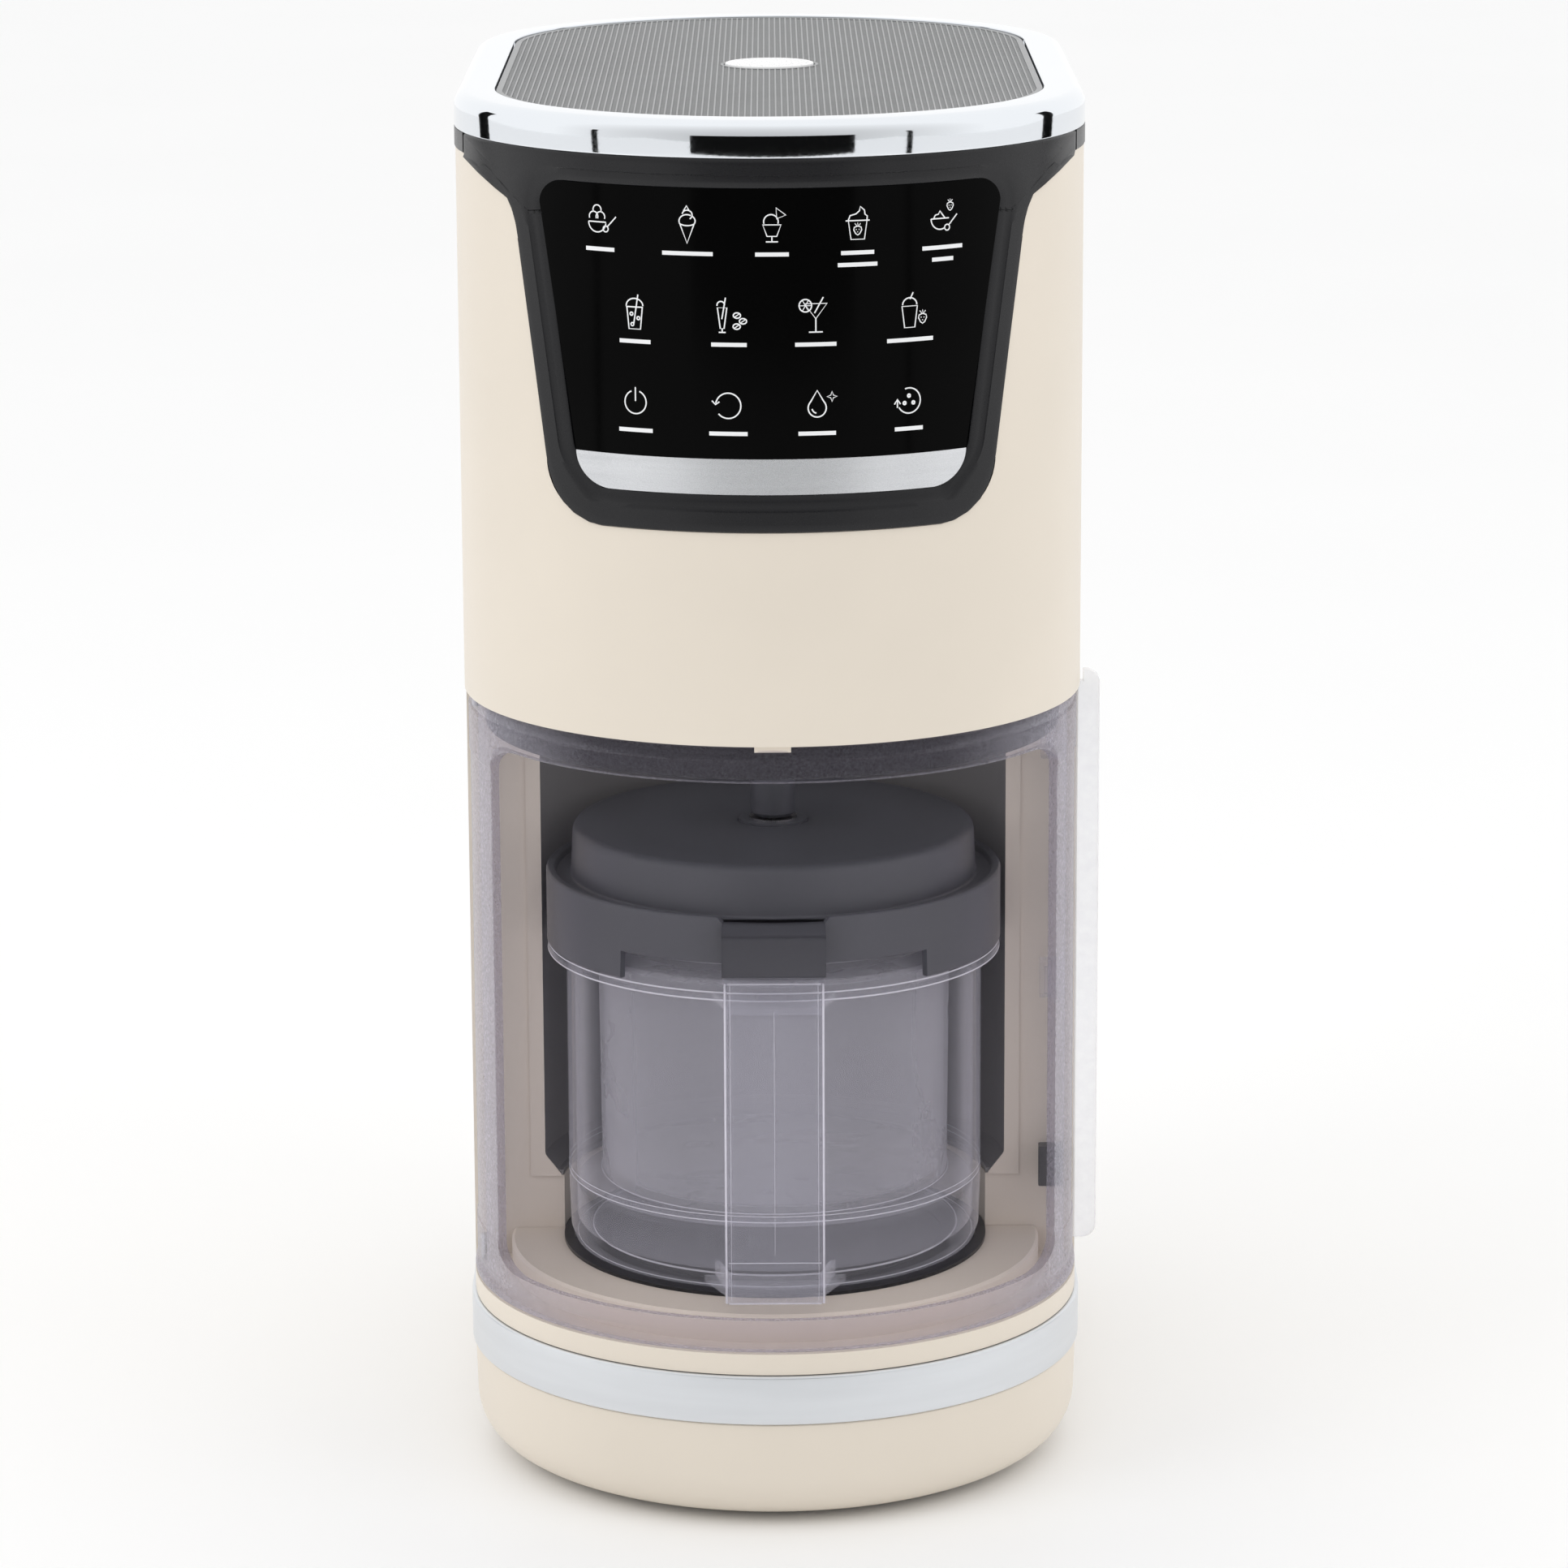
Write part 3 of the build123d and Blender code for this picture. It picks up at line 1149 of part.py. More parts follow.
with BuildPart() as lift_bracket:
    with BuildSketch(level(BRACKET_Z)):
        with Locations((LIFT_X / 2, SCREW_Y + 6)):
            RectangleRounded(104, 46, 4)
        with Locations((0, SCREW_Y)):
            Circle(ROD_RADIUS + RUNNING, mode=Mode.SUBTRACT)
        with Locations((LIFT_X, SCREW_Y)):
            Circle(LIFT_SHAFT + RUNNING, mode=Mode.SUBTRACT)
    extrude(amount=BRACKET_THICK)
    with BuildSketch(level(BRACKET_Z)):
        with Locations((LIFT_X / 2 - 50.5, SCREW_Y + 6), (LIFT_X / 2 + 50.5, SCREW_Y + 6)):
            Rectangle(3, 36)
    extrude(amount=HOUSING_BOTTOM - BRACKET_Z)
save(lift_bracket, "lift_bracket")

with BuildPart() as lift_motor:
    with BuildSketch(level(BRACKET_Z, LIFT_X, SCREW_Y)):
        Circle(LIFT_MOTOR_RADIUS)
    extrude(amount=-LIFT_MOTOR_LENGTH)
    fillet(lift_motor.edges().group_by(Axis.Z)[0], 2)
    with BuildSketch(level(BRACKET_Z, LIFT_X, SCREW_Y)):
        Circle(LIFT_SHAFT + RUNNING)
    extrude(amount=-4, mode=Mode.SUBTRACT)
save(lift_motor, "lift_motor")

# ---- Electrics ------------------------------------------------------------------------------------
with BuildPart() as power_board:
    with BuildSketch(upright(BOARD_Y + BOARD_THICK)):
        with Locations((0, sum(BOSS_HEIGHTS) / 2)):
            Rectangle(92, 100)
    extrude(amount=BOARD_THICK)
    with BuildSketch(upright(BOARD_Y)):
        with Locations((-22, 120)):
            Rectangle(34, 30)
        with Locations((24, 160)):
            Rectangle(26, 20)
    extrude(amount=22)
    with BuildSketch(upright(BOARD_Y)):
        with Locations((14, 112), (30, 112), (-30, 160)):
            Circle(7)
    extrude(amount=18)
save(power_board, "power_board")

INLET_FACE = STRAIGHT + BODY_RADIUS - 1.4
with BuildPart() as power_inlet:
    with BuildSketch(upright(INLET_FACE)):
        with Locations((0, INLET_MIDDLE)):
            Rectangle(2 * INLET_HALF_WIDTH - 0.2, INLET_Z[1] - INLET_Z[0] - 0.2)
    extrude(amount=20)
    with BuildSketch(upright(INLET_FACE)):
        with Locations((0, INLET_MIDDLE)):
            RectangleRounded(19, 12, 4)
    extrude(amount=14, mode=Mode.SUBTRACT)
    with BuildSketch(upright(INLET_FACE - 2)):
        with Locations((-4.5, INLET_MIDDLE), (4.5, INLET_MIDDLE)):
            Circle(1.3)
    extrude(amount=12)
save(power_inlet, "power_inlet")

SWITCH_HEIGHT = 7.0
with BuildPart() as door_switch:
    with at(52, -38, CEILING + WALL + SWITCH_HEIGHT / 2):
        Box(18, 8, SWITCH_HEIGHT)
save(door_switch, "door_switch")
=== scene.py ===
import json
from math import acos, asin, atan2, ceil, cos, hypot, pi, radians, sin, sqrt, tan

import bmesh
import bpy
from mathutils import Matrix, Vector

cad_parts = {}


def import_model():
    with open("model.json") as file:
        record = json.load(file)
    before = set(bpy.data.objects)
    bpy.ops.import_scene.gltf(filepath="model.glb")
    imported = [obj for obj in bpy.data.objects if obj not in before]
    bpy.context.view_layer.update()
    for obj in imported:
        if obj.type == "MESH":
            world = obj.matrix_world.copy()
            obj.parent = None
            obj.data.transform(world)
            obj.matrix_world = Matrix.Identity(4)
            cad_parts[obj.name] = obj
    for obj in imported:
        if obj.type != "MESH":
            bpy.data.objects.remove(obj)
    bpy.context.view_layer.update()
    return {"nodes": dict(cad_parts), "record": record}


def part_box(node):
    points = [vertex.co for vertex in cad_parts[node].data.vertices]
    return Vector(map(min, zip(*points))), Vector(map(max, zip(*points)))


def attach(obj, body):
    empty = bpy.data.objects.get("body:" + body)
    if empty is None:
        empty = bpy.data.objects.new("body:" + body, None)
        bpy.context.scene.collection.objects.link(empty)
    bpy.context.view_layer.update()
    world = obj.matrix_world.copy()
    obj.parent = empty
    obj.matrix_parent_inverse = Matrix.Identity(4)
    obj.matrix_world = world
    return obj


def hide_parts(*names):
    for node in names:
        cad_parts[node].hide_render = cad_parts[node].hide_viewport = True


# Countertop ice cream maker. Pieces are drawn in millimetres round the bowl's upright axis, with
# +Z up and the front facing -Y, and turned into metres where each mesh is made.
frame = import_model()
MM = 0.001


# ---- Places and sizes, from the frame --------------------------------------
def middle(node):
    lo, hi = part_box(node)
    return (lo + hi) / 2


AXIS = middle("outer_bowl")


def span(node):
    """Lowest and highest corner of a CAD node in mm, measured from the bowl axis."""
    lo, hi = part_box(node)
    shift = Vector((AXIS.x, AXIS.y, 0))
    return (lo - shift) / MM, (hi - shift) / MM


housing_lo, housing_hi = span("upper_housing")
BODY_R = (housing_hi.x - housing_lo.x) / 2
STRAIGHT = housing_hi.y - housing_lo.y - 2 * BODY_R
HOUSING_TOP = housing_hi.z
frame_lo, frame_hi = span("control_frame")
PANEL_BOTTOM = frame_lo.z
BAND_TOP = frame_hi.z
bezel_lo, bezel_hi = span("chrome_bezel")
grille_lo, grille_hi = span("top_grille")
GRILLE_R = grille_hi.x
glass_hi = span("control_glass")[1]
strip_lo, strip_hi = span("trim_strip")
trim_lo, trim_hi = span("trim_band")
base_lo, base_hi = span("base_shell")
door_lo, door_hi = span("door_frame")
window_lo, window_hi = span("door_window")
fin_lo, fin_hi = span("door_handle")
bowl_lo, bowl_hi = span("outer_bowl")
tub_lo, tub_hi = span("inner_tub")
grip_lo, grip_hi = span("bowl_handle")
lid_lo, lid_hi = span("bowl_lid")
WALL = 2.5


# ---- Materials -------------------------------------------------------------
LOOK = "_look"


def new_material(name):
    mat = bpy.data.materials.new(name + LOOK)
    mat.use_nodes = True
    return mat, mat.node_tree.nodes, mat.node_tree.links


def shader_node(nodes, kind, **values):
    """A new node with its sockets set, where an underscore stands for a space."""
    made = nodes.new("ShaderNode" + kind)
    for socket, value in values.items():
        made.inputs[socket.replace("_", " ")].default_value = value
    return made


def noise(nodes, links, scale, stretch=(1, 1, 1)):
    """A noise texture in object space, in features per metre."""
    coords = nodes.new("ShaderNodeTexCoord")
    mapping = shader_node(nodes, "Mapping", Scale=stretch)
    texture = shader_node(nodes, "TexNoise", Scale=scale, Detail=3.0)
    links.new(coords.outputs["Object"], mapping.inputs["Vector"])
    links.new(mapping.outputs["Vector"], texture.inputs["Vector"])
    return texture.outputs["Fac"]


def ranged(nodes, links, source, low, high):
    """The noise spread from low to high; most of it lies between 0.3 and 0.7."""
    remap = shader_node(nodes, "MapRange", From_Min=0.3, From_Max=0.7, To_Min=low, To_Max=high)
    links.new(source, remap.inputs["Value"])
    return remap.outputs["Result"]


def tinted(nodes, links, source, colour, vary):
    """The colour, a little darker and lighter over the surface."""
    mix = nodes.new("ShaderNodeMix")
    mix.data_type = "RGBA"
    mix.inputs["A"].default_value = [max(0.0, c * (1 - vary)) for c in colour] + [1]
    mix.inputs["B"].default_value = [min(1.0, c * (1 + vary)) for c in colour] + [1]
    links.new(ranged(nodes, links, source, 0.0, 1.0), mix.inputs["Factor"])
    return mix.outputs["Result"]


def surfaced(nodes, links, clouds, grains, colour, vary, rough, bump, depth):
    """The main shader with its colour, its range of roughness and a relief, depth in mm."""
    shader = nodes["Principled BSDF"]
    links.new(tinted(nodes, links, clouds, colour, vary), shader.inputs["Base Color"])
    links.new(ranged(nodes, links, grains, *rough), shader.inputs["Roughness"])
    relief = shader_node(nodes, "Bump", Strength=bump, Distance=depth * MM)
    links.new(grains, relief.inputs["Height"])
    links.new(relief.outputs["Normal"], shader.inputs["Normal"])
    return shader


def solid(name, colour, rough, spread=0.05, vary=0.03, cloud=14.0, grain=1400.0, bump=0.1,
          depth=0.05, stretch=(1, 1, 1), **sockets):
    """An opaque material: cloudy colour, grainy roughness and a fine relief."""
    mat, nodes, links = new_material(name)
    clouds = noise(nodes, links, cloud, stretch)
    grains = noise(nodes, links, grain, stretch)
    rough_range = (rough - spread, rough + spread)
    shader = surfaced(nodes, links, clouds, grains, colour, vary, rough_range, bump, depth)
    for socket, value in sockets.items():
        shader.inputs[socket.replace("_", " ")].default_value = value
    return mat


def clear(name, tint, skin, least, most, start=0.15, rough=0.05, grain=300.0, vary=0.05,
          bump=0.03, gloss=0.5):
    """See-through moulded plastic: tinted straight through, with a glossy skin that grows
    towards the edges. least and most are the skin's share face on and edge on, and start is how
    far the surface has turned away before the skin grows."""
    mat, nodes, links = new_material(name)
    grains = noise(nodes, links, grain)
    rough_range = (rough * 0.7, rough * 1.3)
    shader = surfaced(nodes, links, grains, grains, skin, vary, rough_range, bump, 0.05)
    shader.inputs["Specular IOR Level"].default_value = gloss
    through = shader_node(nodes, "BsdfTransparent", Color=(*tint, 1))
    facing = shader_node(nodes, "LayerWeight", Blend=0.35)
    share = shader_node(nodes, "MapRange", From_Min=start, To_Min=least, To_Max=most)
    mix = nodes.new("ShaderNodeMixShader")
    links.new(facing.outputs["Facing"], share.inputs["Value"])
    links.new(share.outputs["Result"], mix.inputs[0])
    links.new(through.outputs[0], mix.inputs[1])
    links.new(shader.outputs[0], mix.inputs[2])
    links.new(mix.outputs[0], nodes["Material Output"].inputs["Surface"])
    return mat


CREAM = solid("cream_plastic", (0.76, 0.69, 0.595), 0.4, vary=0.02, depth=0.02, Specular_IOR_Level=0.4)
BAND = solid("satin_band", (0.72, 0.74, 0.765), 0.36, vary=0.03, stretch=(1, 1, 14), Metallic=0.8)
CHROME = solid("chrome", (0.81, 0.84, 0.875), 0.05, spread=0.02, vary=0.01, bump=0.02, Metallic=1.0)
CHARCOAL = solid("charcoal_plastic", (0.007, 0.007, 0.0085), 0.31, vary=0.1, grain=2600.0,
                 bump=0.2, Specular_IOR_Level=0.36)
TEXTURED = solid("charcoal_texture", (0.03, 0.03, 0.032), 0.42, vary=0.8, cloud=1700.0,
                 grain=1300.0, bump=1.0, depth=0.25)
GRILLE = solid("grille_metal", (0.33, 0.335, 0.34), 0.42, vary=0.05, Metallic=0.5)
BADGE = solid("badge_metal", (0.93, 0.935, 0.935), 0.3, vary=0.03, Metallic=0.0)
INK = solid("white_ink", (0.86, 0.87, 0.88), 0.5, vary=0.02, bump=0.02)
LID = solid("lid_plastic", (0.070, 0.072, 0.084), 0.42, vary=0.05, grain=2200.0, bump=0.15)
LINER = solid("dark_liner", (0.20, 0.195, 0.195), 0.35, vary=0.06, grain=2000.0, bump=0.2)
BLACK = solid("black_plastic", (0.022, 0.022, 0.024), 0.5, vary=0.15, bump=0.2)
FROSTED = clear("frosted_plastic", (0.90, 0.885, 0.925), (0.46, 0.45, 0.50), 0.025, 0.7,
                rough=0.35, grain=1100.0, vary=0.5, bump=0.4)
WINDOW = clear("smoke_clear", (0.94, 0.93, 0.94), (0.10, 0.095, 0.11), 0.02, 0.3,
               bump=0.004, gloss=0.35)
CLEAR = clear("clear_plastic", (0.965, 0.965, 0.975), (0.68, 0.68, 0.74), 0.05, 0.85,
              start=0.45, grain=60.0, vary=0.02, bump=0.004)
TUB = clear("tub_plastic", (0.87, 0.87, 0.89), (0.62, 0.62, 0.645), 0.21, 0.6,
            rough=0.3, grain=60.0, vary=0.02, bump=0.004)
FIN = clear("fin_plastic", (0.97, 0.97, 0.975), (0.95, 0.95, 0.97), 0.3, 0.8)
# Painted highlights: a near-white skin for the fine bright lines laid on the clear bowl and its handle.
PAINTED_HIGHLIGHT = clear("edge_plastic", (0.95, 0.95, 0.96), (0.90, 0.90, 0.95), 0.36, 0.9)
# These are only looked up by the slot of a CAD node.
solid("black_glass", (0.002, 0.002, 0.002), 0.12, spread=0.03, vary=0.2, bump=0.01,
      Specular_IOR_Level=0.03)
solid("brushed_strip", (0.66, 0.67, 0.69), 0.3, spread=0.1, vary=0.05, stretch=(1, 1, 30),
      Metallic=0.9)
solid("seal_rubber", (0.05, 0.05, 0.054), 0.6, vary=0.15, bump=0.2)
solid("foot_rubber", (0.03, 0.03, 0.03), 0.75, vary=0.2, bump=0.4)
solid("steel", (0.55, 0.55, 0.56), 0.28, spread=0.08, vary=0.04, stretch=(6, 6, 1), Metallic=1.0)
solid("motor_steel", (0.24, 0.25, 0.27), 0.4, vary=0.08, Metallic=0.8)
solid("gear_plastic", (0.80, 0.79, 0.74), 0.45, vary=0.03)
solid("plate_aluminium", (0.68, 0.69, 0.70), 0.36, spread=0.08, stretch=(12, 1, 1),
      Metallic=1.0)
solid("bronze", (0.60, 0.40, 0.18), 0.38, vary=0.1, Metallic=1.0)
solid("board_green", (0.03, 0.16, 0.08), 0.4, vary=0.12, cloud=120.0)
SEE_THROUGH = (FROSTED, WINDOW, CLEAR, TUB, FIN, PAINTED_HIGHLIGHT)


# ---- Mesh helpers ----------------------------------------------------------
SHARP = radians(34)
HUB = 0.05  # Radius of the fine hole left on the axis of a turned disc.


def linked(name, data):
    obj = bpy.data.objects.new(name, data)
    bpy.context.scene.collection.objects.link(obj)
    return obj


def piece(name, shape, mat, body, *nodes, slot=None):
    """A mesh from (points, faces), riding on a body and standing for CAD nodes."""
    points, faces = shape
    mesh = bpy.data.meshes.new(name)
    mesh.from_pydata([(AXIS.x + x * MM, AXIS.y + y * MM, z * MM) for x, y, z in points], [], faces)
    work = bmesh.new()
    work.from_mesh(mesh)
    bmesh.ops.remove_doubles(work, verts=work.verts, dist=0.002 * MM)
    bmesh.ops.recalc_face_normals(work, faces=work.faces)
    work.to_mesh(mesh)
    work.free()
    for polygon in mesh.polygons:
        polygon.use_smooth = True
    mesh.set_sharp_from_angle(angle=SHARP)
    obj = linked(name, mesh)
    mesh.materials.append(mat)
    obj.visible_shadow = mat not in SEE_THROUGH
    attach(obj, body)
    if nodes:
        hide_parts(*nodes)


def rounded(corners, steps=5):
    """A closed outline from (x, y, radius) corners, each turned by an arc."""
    outline = []
    for i, (x, y, radius) in enumerate(corners):
        here = Vector((x, y))
        if radius <= 0:
            outline.append((x, y))
            continue
        back = (Vector(corners[i - 1][:2]) - here).normalized()
        on = (Vector(corners[(i + 1) % len(corners)][:2]) - here).normalized()
        half = back.angle(on) / 2
        centre = here + (back + on).normalized() * radius / sin(half)
        first = here + back * radius / tan(half) - centre
        last = here + on * radius / tan(half) - centre
        start = atan2(first.y, first.x)
        turn = (atan2(last.y, last.x) - start + pi) % (2 * pi) - pi
        for k in range(steps + 1):
            angle = start + turn * k / steps
            outline.append((centre.x + radius * cos(angle), centre.y + radius * sin(angle)))
    return outline


def strips(rings, closed=True):
    """Points and faces of a skin through rings of equal length. An open one gets end caps."""
    count = len(rings[0])
    points = [p for ring in rings for p in ring]
    faces = []
    for i in range(len(rings) if closed else len(rings) - 1):
        j = (i + 1) % len(rings)
        for k in range(count):
            m = (k + 1) % count
            faces.append((i * count + k, j * count + k, j * count + m, i * count + m))
    if not closed:
        faces.append(tuple(range(count)))
        faces.append(tuple((len(rings) - 1) * count + k for k in range(count)))
    return points, faces


def bearing_station(bearing, y=0.0):
    """A place on the body's plan: the arc centre and the way out. Bearing 0 is the front."""
    return (0.0, y, sin(bearing), -cos(bearing))


def stadium_path():
    """The whole plan outline, from the left edge of the front arc round to the left again."""
    turns, runs = 72, 6
    path = [bearing_station(radians(-90 + 180 * k / turns)) for k in range(turns + 1)]
    path += [bearing_station(pi / 2, STRAIGHT * k / runs) for k in range(1, runs)]
    path += [bearing_station(radians(90 + 180 * k / turns), STRAIGHT) for k in range(turns + 1)]
    path += [bearing_station(-pi / 2, STRAIGHT * (1 - k / runs)) for k in range(1, runs)]
    return path


def round_path(count=144, y=0.0):
    return [bearing_station(2 * pi * k / count, y) for k in range(count)]


def swept(path, profile):
    """One ring of points at each station, from (radius, height) points."""
    return [[(cx + r * dx, cy + r * dy, z) for r, z in profile] for cx, cy, dx, dy in path]


def ring_piece(name, corners, mat, body, *nodes, steps=5):
    """A closed rounded profile swept round the body's plan."""
    piece(name, strips(swept(stadium_path(), rounded(corners, steps))), mat, body, *nodes)


def joined(*parts):
    points, faces = [], []
    for some_points, some_faces in parts:
        shift = len(points)
        points += some_points
        faces += [tuple(i + shift for i in face) for face in some_faces]
    return points, faces


def on_front(x, z, radius):
    """A point on the front curve of the body whose front-view place is x, z."""
    bearing = asin(x / BODY_R)
    return (radius * sin(bearing), -radius * cos(bearing), z)


# ---- Base ------------------------------------------------------------------
def base():
    low, top = base_lo.z, base_hi.z - 0.15
    foot_r = BODY_R - 0.95
    hollow_r = foot_r - 16.8
    ring_piece("base_skin", [
        (BODY_R, top, 0.5),
        (foot_r, low, 14.0),
        (hollow_r, low, 0.3),
        (hollow_r, low + WALL, 0.3),
        (foot_r - WALL, low + WALL, 11.0),
        (BODY_R - WALL, top, 0.3),
    ], CREAM, "body", "base_shell", steps=9)
    band_r, band_low, band_top = trim_hi.x, trim_lo.z + 0.15, trim_hi.z - 0.25
    ring_piece("band_skin", [
        (band_r, band_low, 0.5),
        (band_r - 3.0, band_low, 0.3),
        (band_r - 3.0, band_top, 0.3),
        (band_r, band_top, 0.8),
    ], BAND, "body", "trim_band")


# ---- Control panel ---------------------------------------------------------
def side_lengths(points):
    return [hypot(b[0] - a[0], b[1] - a[1]) for a, b in zip(points, points[1:] + points[:1])]


def spaced(points, count):
    """The closed outline at equal steps along its length."""
    lengths = side_lengths(points)
    total = sum(lengths)
    out, i, passed = [], 0, 0.0
    for k in range(count):
        want = total * k / count
        while passed + lengths[i] < want:
            passed += lengths[i]
            i += 1
        t = (want - passed) / lengths[i] if lengths[i] else 0.0
        a, b = points[i], points[(i + 1) % len(points)]
        out.append((a[0] + t * (b[0] - a[0]), a[1] + t * (b[1] - a[1])))
    return out


def seen_from(centre, outline, target):
    """Where the ray from centre towards target crosses the closed outline."""
    dx, dy = target[0] - centre[0], target[1] - centre[1]
    best = None
    for a, b in zip(outline, outline[1:] + outline[:1]):
        ex, ey = b[0] - a[0], b[1] - a[1]
        det = dx * -ey + dy * ex
        if abs(det) < 1e-9:
            continue
        fx, fy = a[0] - centre[0], a[1] - centre[1]
        t = (fx * -ey + fy * ex) / det
        u = (dx * fy - dy * fx) / det
        if t > 0 and -1e-6 <= u <= 1 + 1e-6 and (best is None or t > best):
            best = t
    return (centre[0] + dx * best, centre[1] + dy * best)


def grown(outline, centre, amount):
    """The outline moved outwards by amount, along the bisectors at its points."""
    out = []
    for i, p in enumerate(outline):
        a, b = Vector(outline[i - 1]), Vector(outline[(i + 1) % len(outline)])
        along = (b - a).normalized()
        side = Vector((along.y, -along.x))
        if side.dot(Vector(p) - Vector(centre)) < 0:
            side = -side
        out.append((p[0] + side.x * amount, p[1] + side.y * amount))
    return out


PANEL_CENTRE = (0.0, 336.0)
PANEL_WAIST = 68.6
PANEL_FOOT = 61.2
PANEL_GAP = 0.6
SURROUND_POINTS = 520
SHOULDER = 9.0


def panel_outer():
    """Front view of the black surround: bottom, tapering sides, and shoulders into the band."""
    right = [
        (46.0, PANEL_BOTTOM), (49.5, PANEL_BOTTOM + 0.5), (53.5, PANEL_BOTTOM + 2.4),
        (56.8, PANEL_BOTTOM + 5.4), (59.2, PANEL_BOTTOM + 9.6), (60.5, PANEL_BOTTOM + 13.5),
        (PANEL_FOOT, PANEL_BOTTOM + 17.5),
        (PANEL_WAIST - 0.3, HOUSING_TOP - 20.0), (69.0, HOUSING_TOP - 15.6), (70.0, HOUSING_TOP - 12.0),
        (71.6, HOUSING_TOP - 8.6), (73.8, HOUSING_TOP - 5.6), (76.4, HOUSING_TOP - 3.2),
        (79.3, HOUSING_TOP - 1.5), (82.4, HOUSING_TOP - 0.5), (84.6, HOUSING_TOP - 0.2), (84.6, BAND_TOP),
    ]
    return right + [(-x, z) for x, z in reversed(right)]


def panel_inner():
    """Front view of the opening round the glass and the strip below it."""
    flat = 46.5
    glass_x, strip_x = glass_hi.x + PANEL_GAP, strip_hi.x + PANEL_GAP
    return rounded([
        (-flat, strip_lo.z, 0.0), (flat, strip_lo.z, 0.0),
        (strip_x, strip_hi.z - 1.0, 12.0), (glass_x, glass_hi.z, 6.5),
        (-glass_x, glass_hi.z, 6.5), (-strip_x, strip_hi.z - 1.0, 12.0),
    ], 8)


def face_radius(z):
    """The surround stands proud of the casing, and meets the band flush at its top."""
    rise = min(1.0, max(0.0, (z - HOUSING_TOP + SHOULDER) / SHOULDER))
    return BODY_R + 0.75 - 0.4 * rise * rise * (3 - 2 * rise)


def control_surround():
    """Rows of points from the surround's outer edge over its face and down the step to the glass."""
    outer = spaced(panel_outer(), SURROUND_POINTS)
    opening = panel_inner()
    inner = [seen_from(PANEL_CENTRE, opening, p) for p in outer]
    deep = BODY_R - WALL
    soft = grown(outer, PANEL_CENTRE, -0.35)
    inset = grown(outer, PANEL_CENTRE, -0.9)
    crease = grown(inner, PANEL_CENTRE, 3.4)
    step = grown(inner, PANEL_CENTRE, 1.9)
    lip = grown(inner, PANEL_CENTRE, 0.5)
    rows = [
        [on_front(x, z, deep) for x, z in outer],
        [on_front(x, z, min(BODY_R - 0.1, face_radius(z))) for x, z in outer],
        [on_front(x, z, face_radius(z) - 0.12) for x, z in soft],
    ]
    for t in (0.0, 0.25, 0.5, 0.75, 0.94, 1.0):
        sunk = 0.25 if t == 1.0 else 0.0
        row = []
        for a, b in zip(inset, crease):
            x, z = a[0] + (b[0] - a[0]) * t, a[1] + (b[1] - a[1]) * t
            row.append(on_front(x, z, face_radius(z) - sunk))
        rows.append(row)
    for line, radius in ((step, BODY_R + 0.12), (lip, BODY_R + 0.02), (inner, BODY_R - 0.35), (inner, deep)):
        rows.append([on_front(x, z, radius) for x, z in line])
    return strips(rows)


def control_band():
    """The surround's black band, from one shoulder round the back to the other."""
    end = asin(84.5 / BODY_R)
    turns, runs = 4, 6
    path = [bearing_station(end + (pi / 2 - end) * k / turns) for k in range(turns)]
    path += [bearing_station(pi / 2, STRAIGHT * k / runs) for k in range(runs)]
    path += [bearing_station(radians(90 + 2.5 * k), STRAIGHT) for k in range(73)]
    path += [bearing_station(-pi / 2, STRAIGHT * (1 - k / runs)) for k in range(1, runs + 1)]
    path += [bearing_station(-pi / 2 + (pi / 2 - end) * k / turns) for k in range(1, turns + 1)]
    low, outer, inner = HOUSING_TOP - 0.1, BODY_R + 0.3, BODY_R - WALL
    profile = rounded([
        (outer, low, 0.4), (outer, BAND_TOP, 0.0), (inner, BAND_TOP, 0.0), (inner, low, 0.0),
    ], 4)
    return strips(swept(path, profile), closed=False)


def panel():
    piece("panel_surround", joined(control_surround(), control_band()), CHARCOAL, "body", "control_frame")


# ---- Panel symbols ---------------------------------------------------------
INK_R = BODY_R - 0.04
INK_HALF = 0.21
INK_DEPTH = 0.1


def stroke(path, closed=False, half=INK_HALF):
    """A thin raised line along a path of (x, z) points, on the glass."""
    count = len(path)
    rings = []
    for i, (x, z) in enumerate(path):
        before = path[i - 1] if i or closed else path[i]
        after = path[(i + 1) % count] if i < count - 1 or closed else path[i]
        along = Vector((after[0] - before[0], after[1] - before[1]))
        along = along.normalized() if along.length > 1e-6 else Vector((1, 0))
        side = Vector((-along.y, along.x)) * half
        edges = ((1, INK_R), (-1, INK_R), (-1, INK_R - INK_DEPTH), (1, INK_R - INK_DEPTH))
        rings.append([on_front(x + side.x * sign, z + side.y * sign, radius) for sign, radius in edges])
    return strips(rings, closed)


def arc(cx, cz, radius, start, end, squash=1.0, steps=18):
    """Points of an arc, in degrees from the right and anticlockwise."""
    return [
        (cx + radius * cos(radians(start + (end - start) * k / steps)),
         cz + radius * squash * sin(radians(start + (end - start) * k / steps)))
        for k in range(steps + 1)
    ]


def pen(*path, half=INK_HALF):
    return stroke(path, half=half)


def loop(*path):
    return stroke(path, closed=True)


def curve(*numbers):
    return stroke(arc(*numbers))


def bowl_symbol():
    return [
        stroke(arc(-1.0, -0.4, 3.4, 180, 360) + [(-4.4, -0.4)]),
        curve(-2.4, 1.3, 1.7, -20, 200),
        curve(0.3, 1.3, 1.7, -20, 200),
        curve(-1.0, 3.6, 1.6, -30, 210),
        *spoon(2.3, -2.6),
    ]


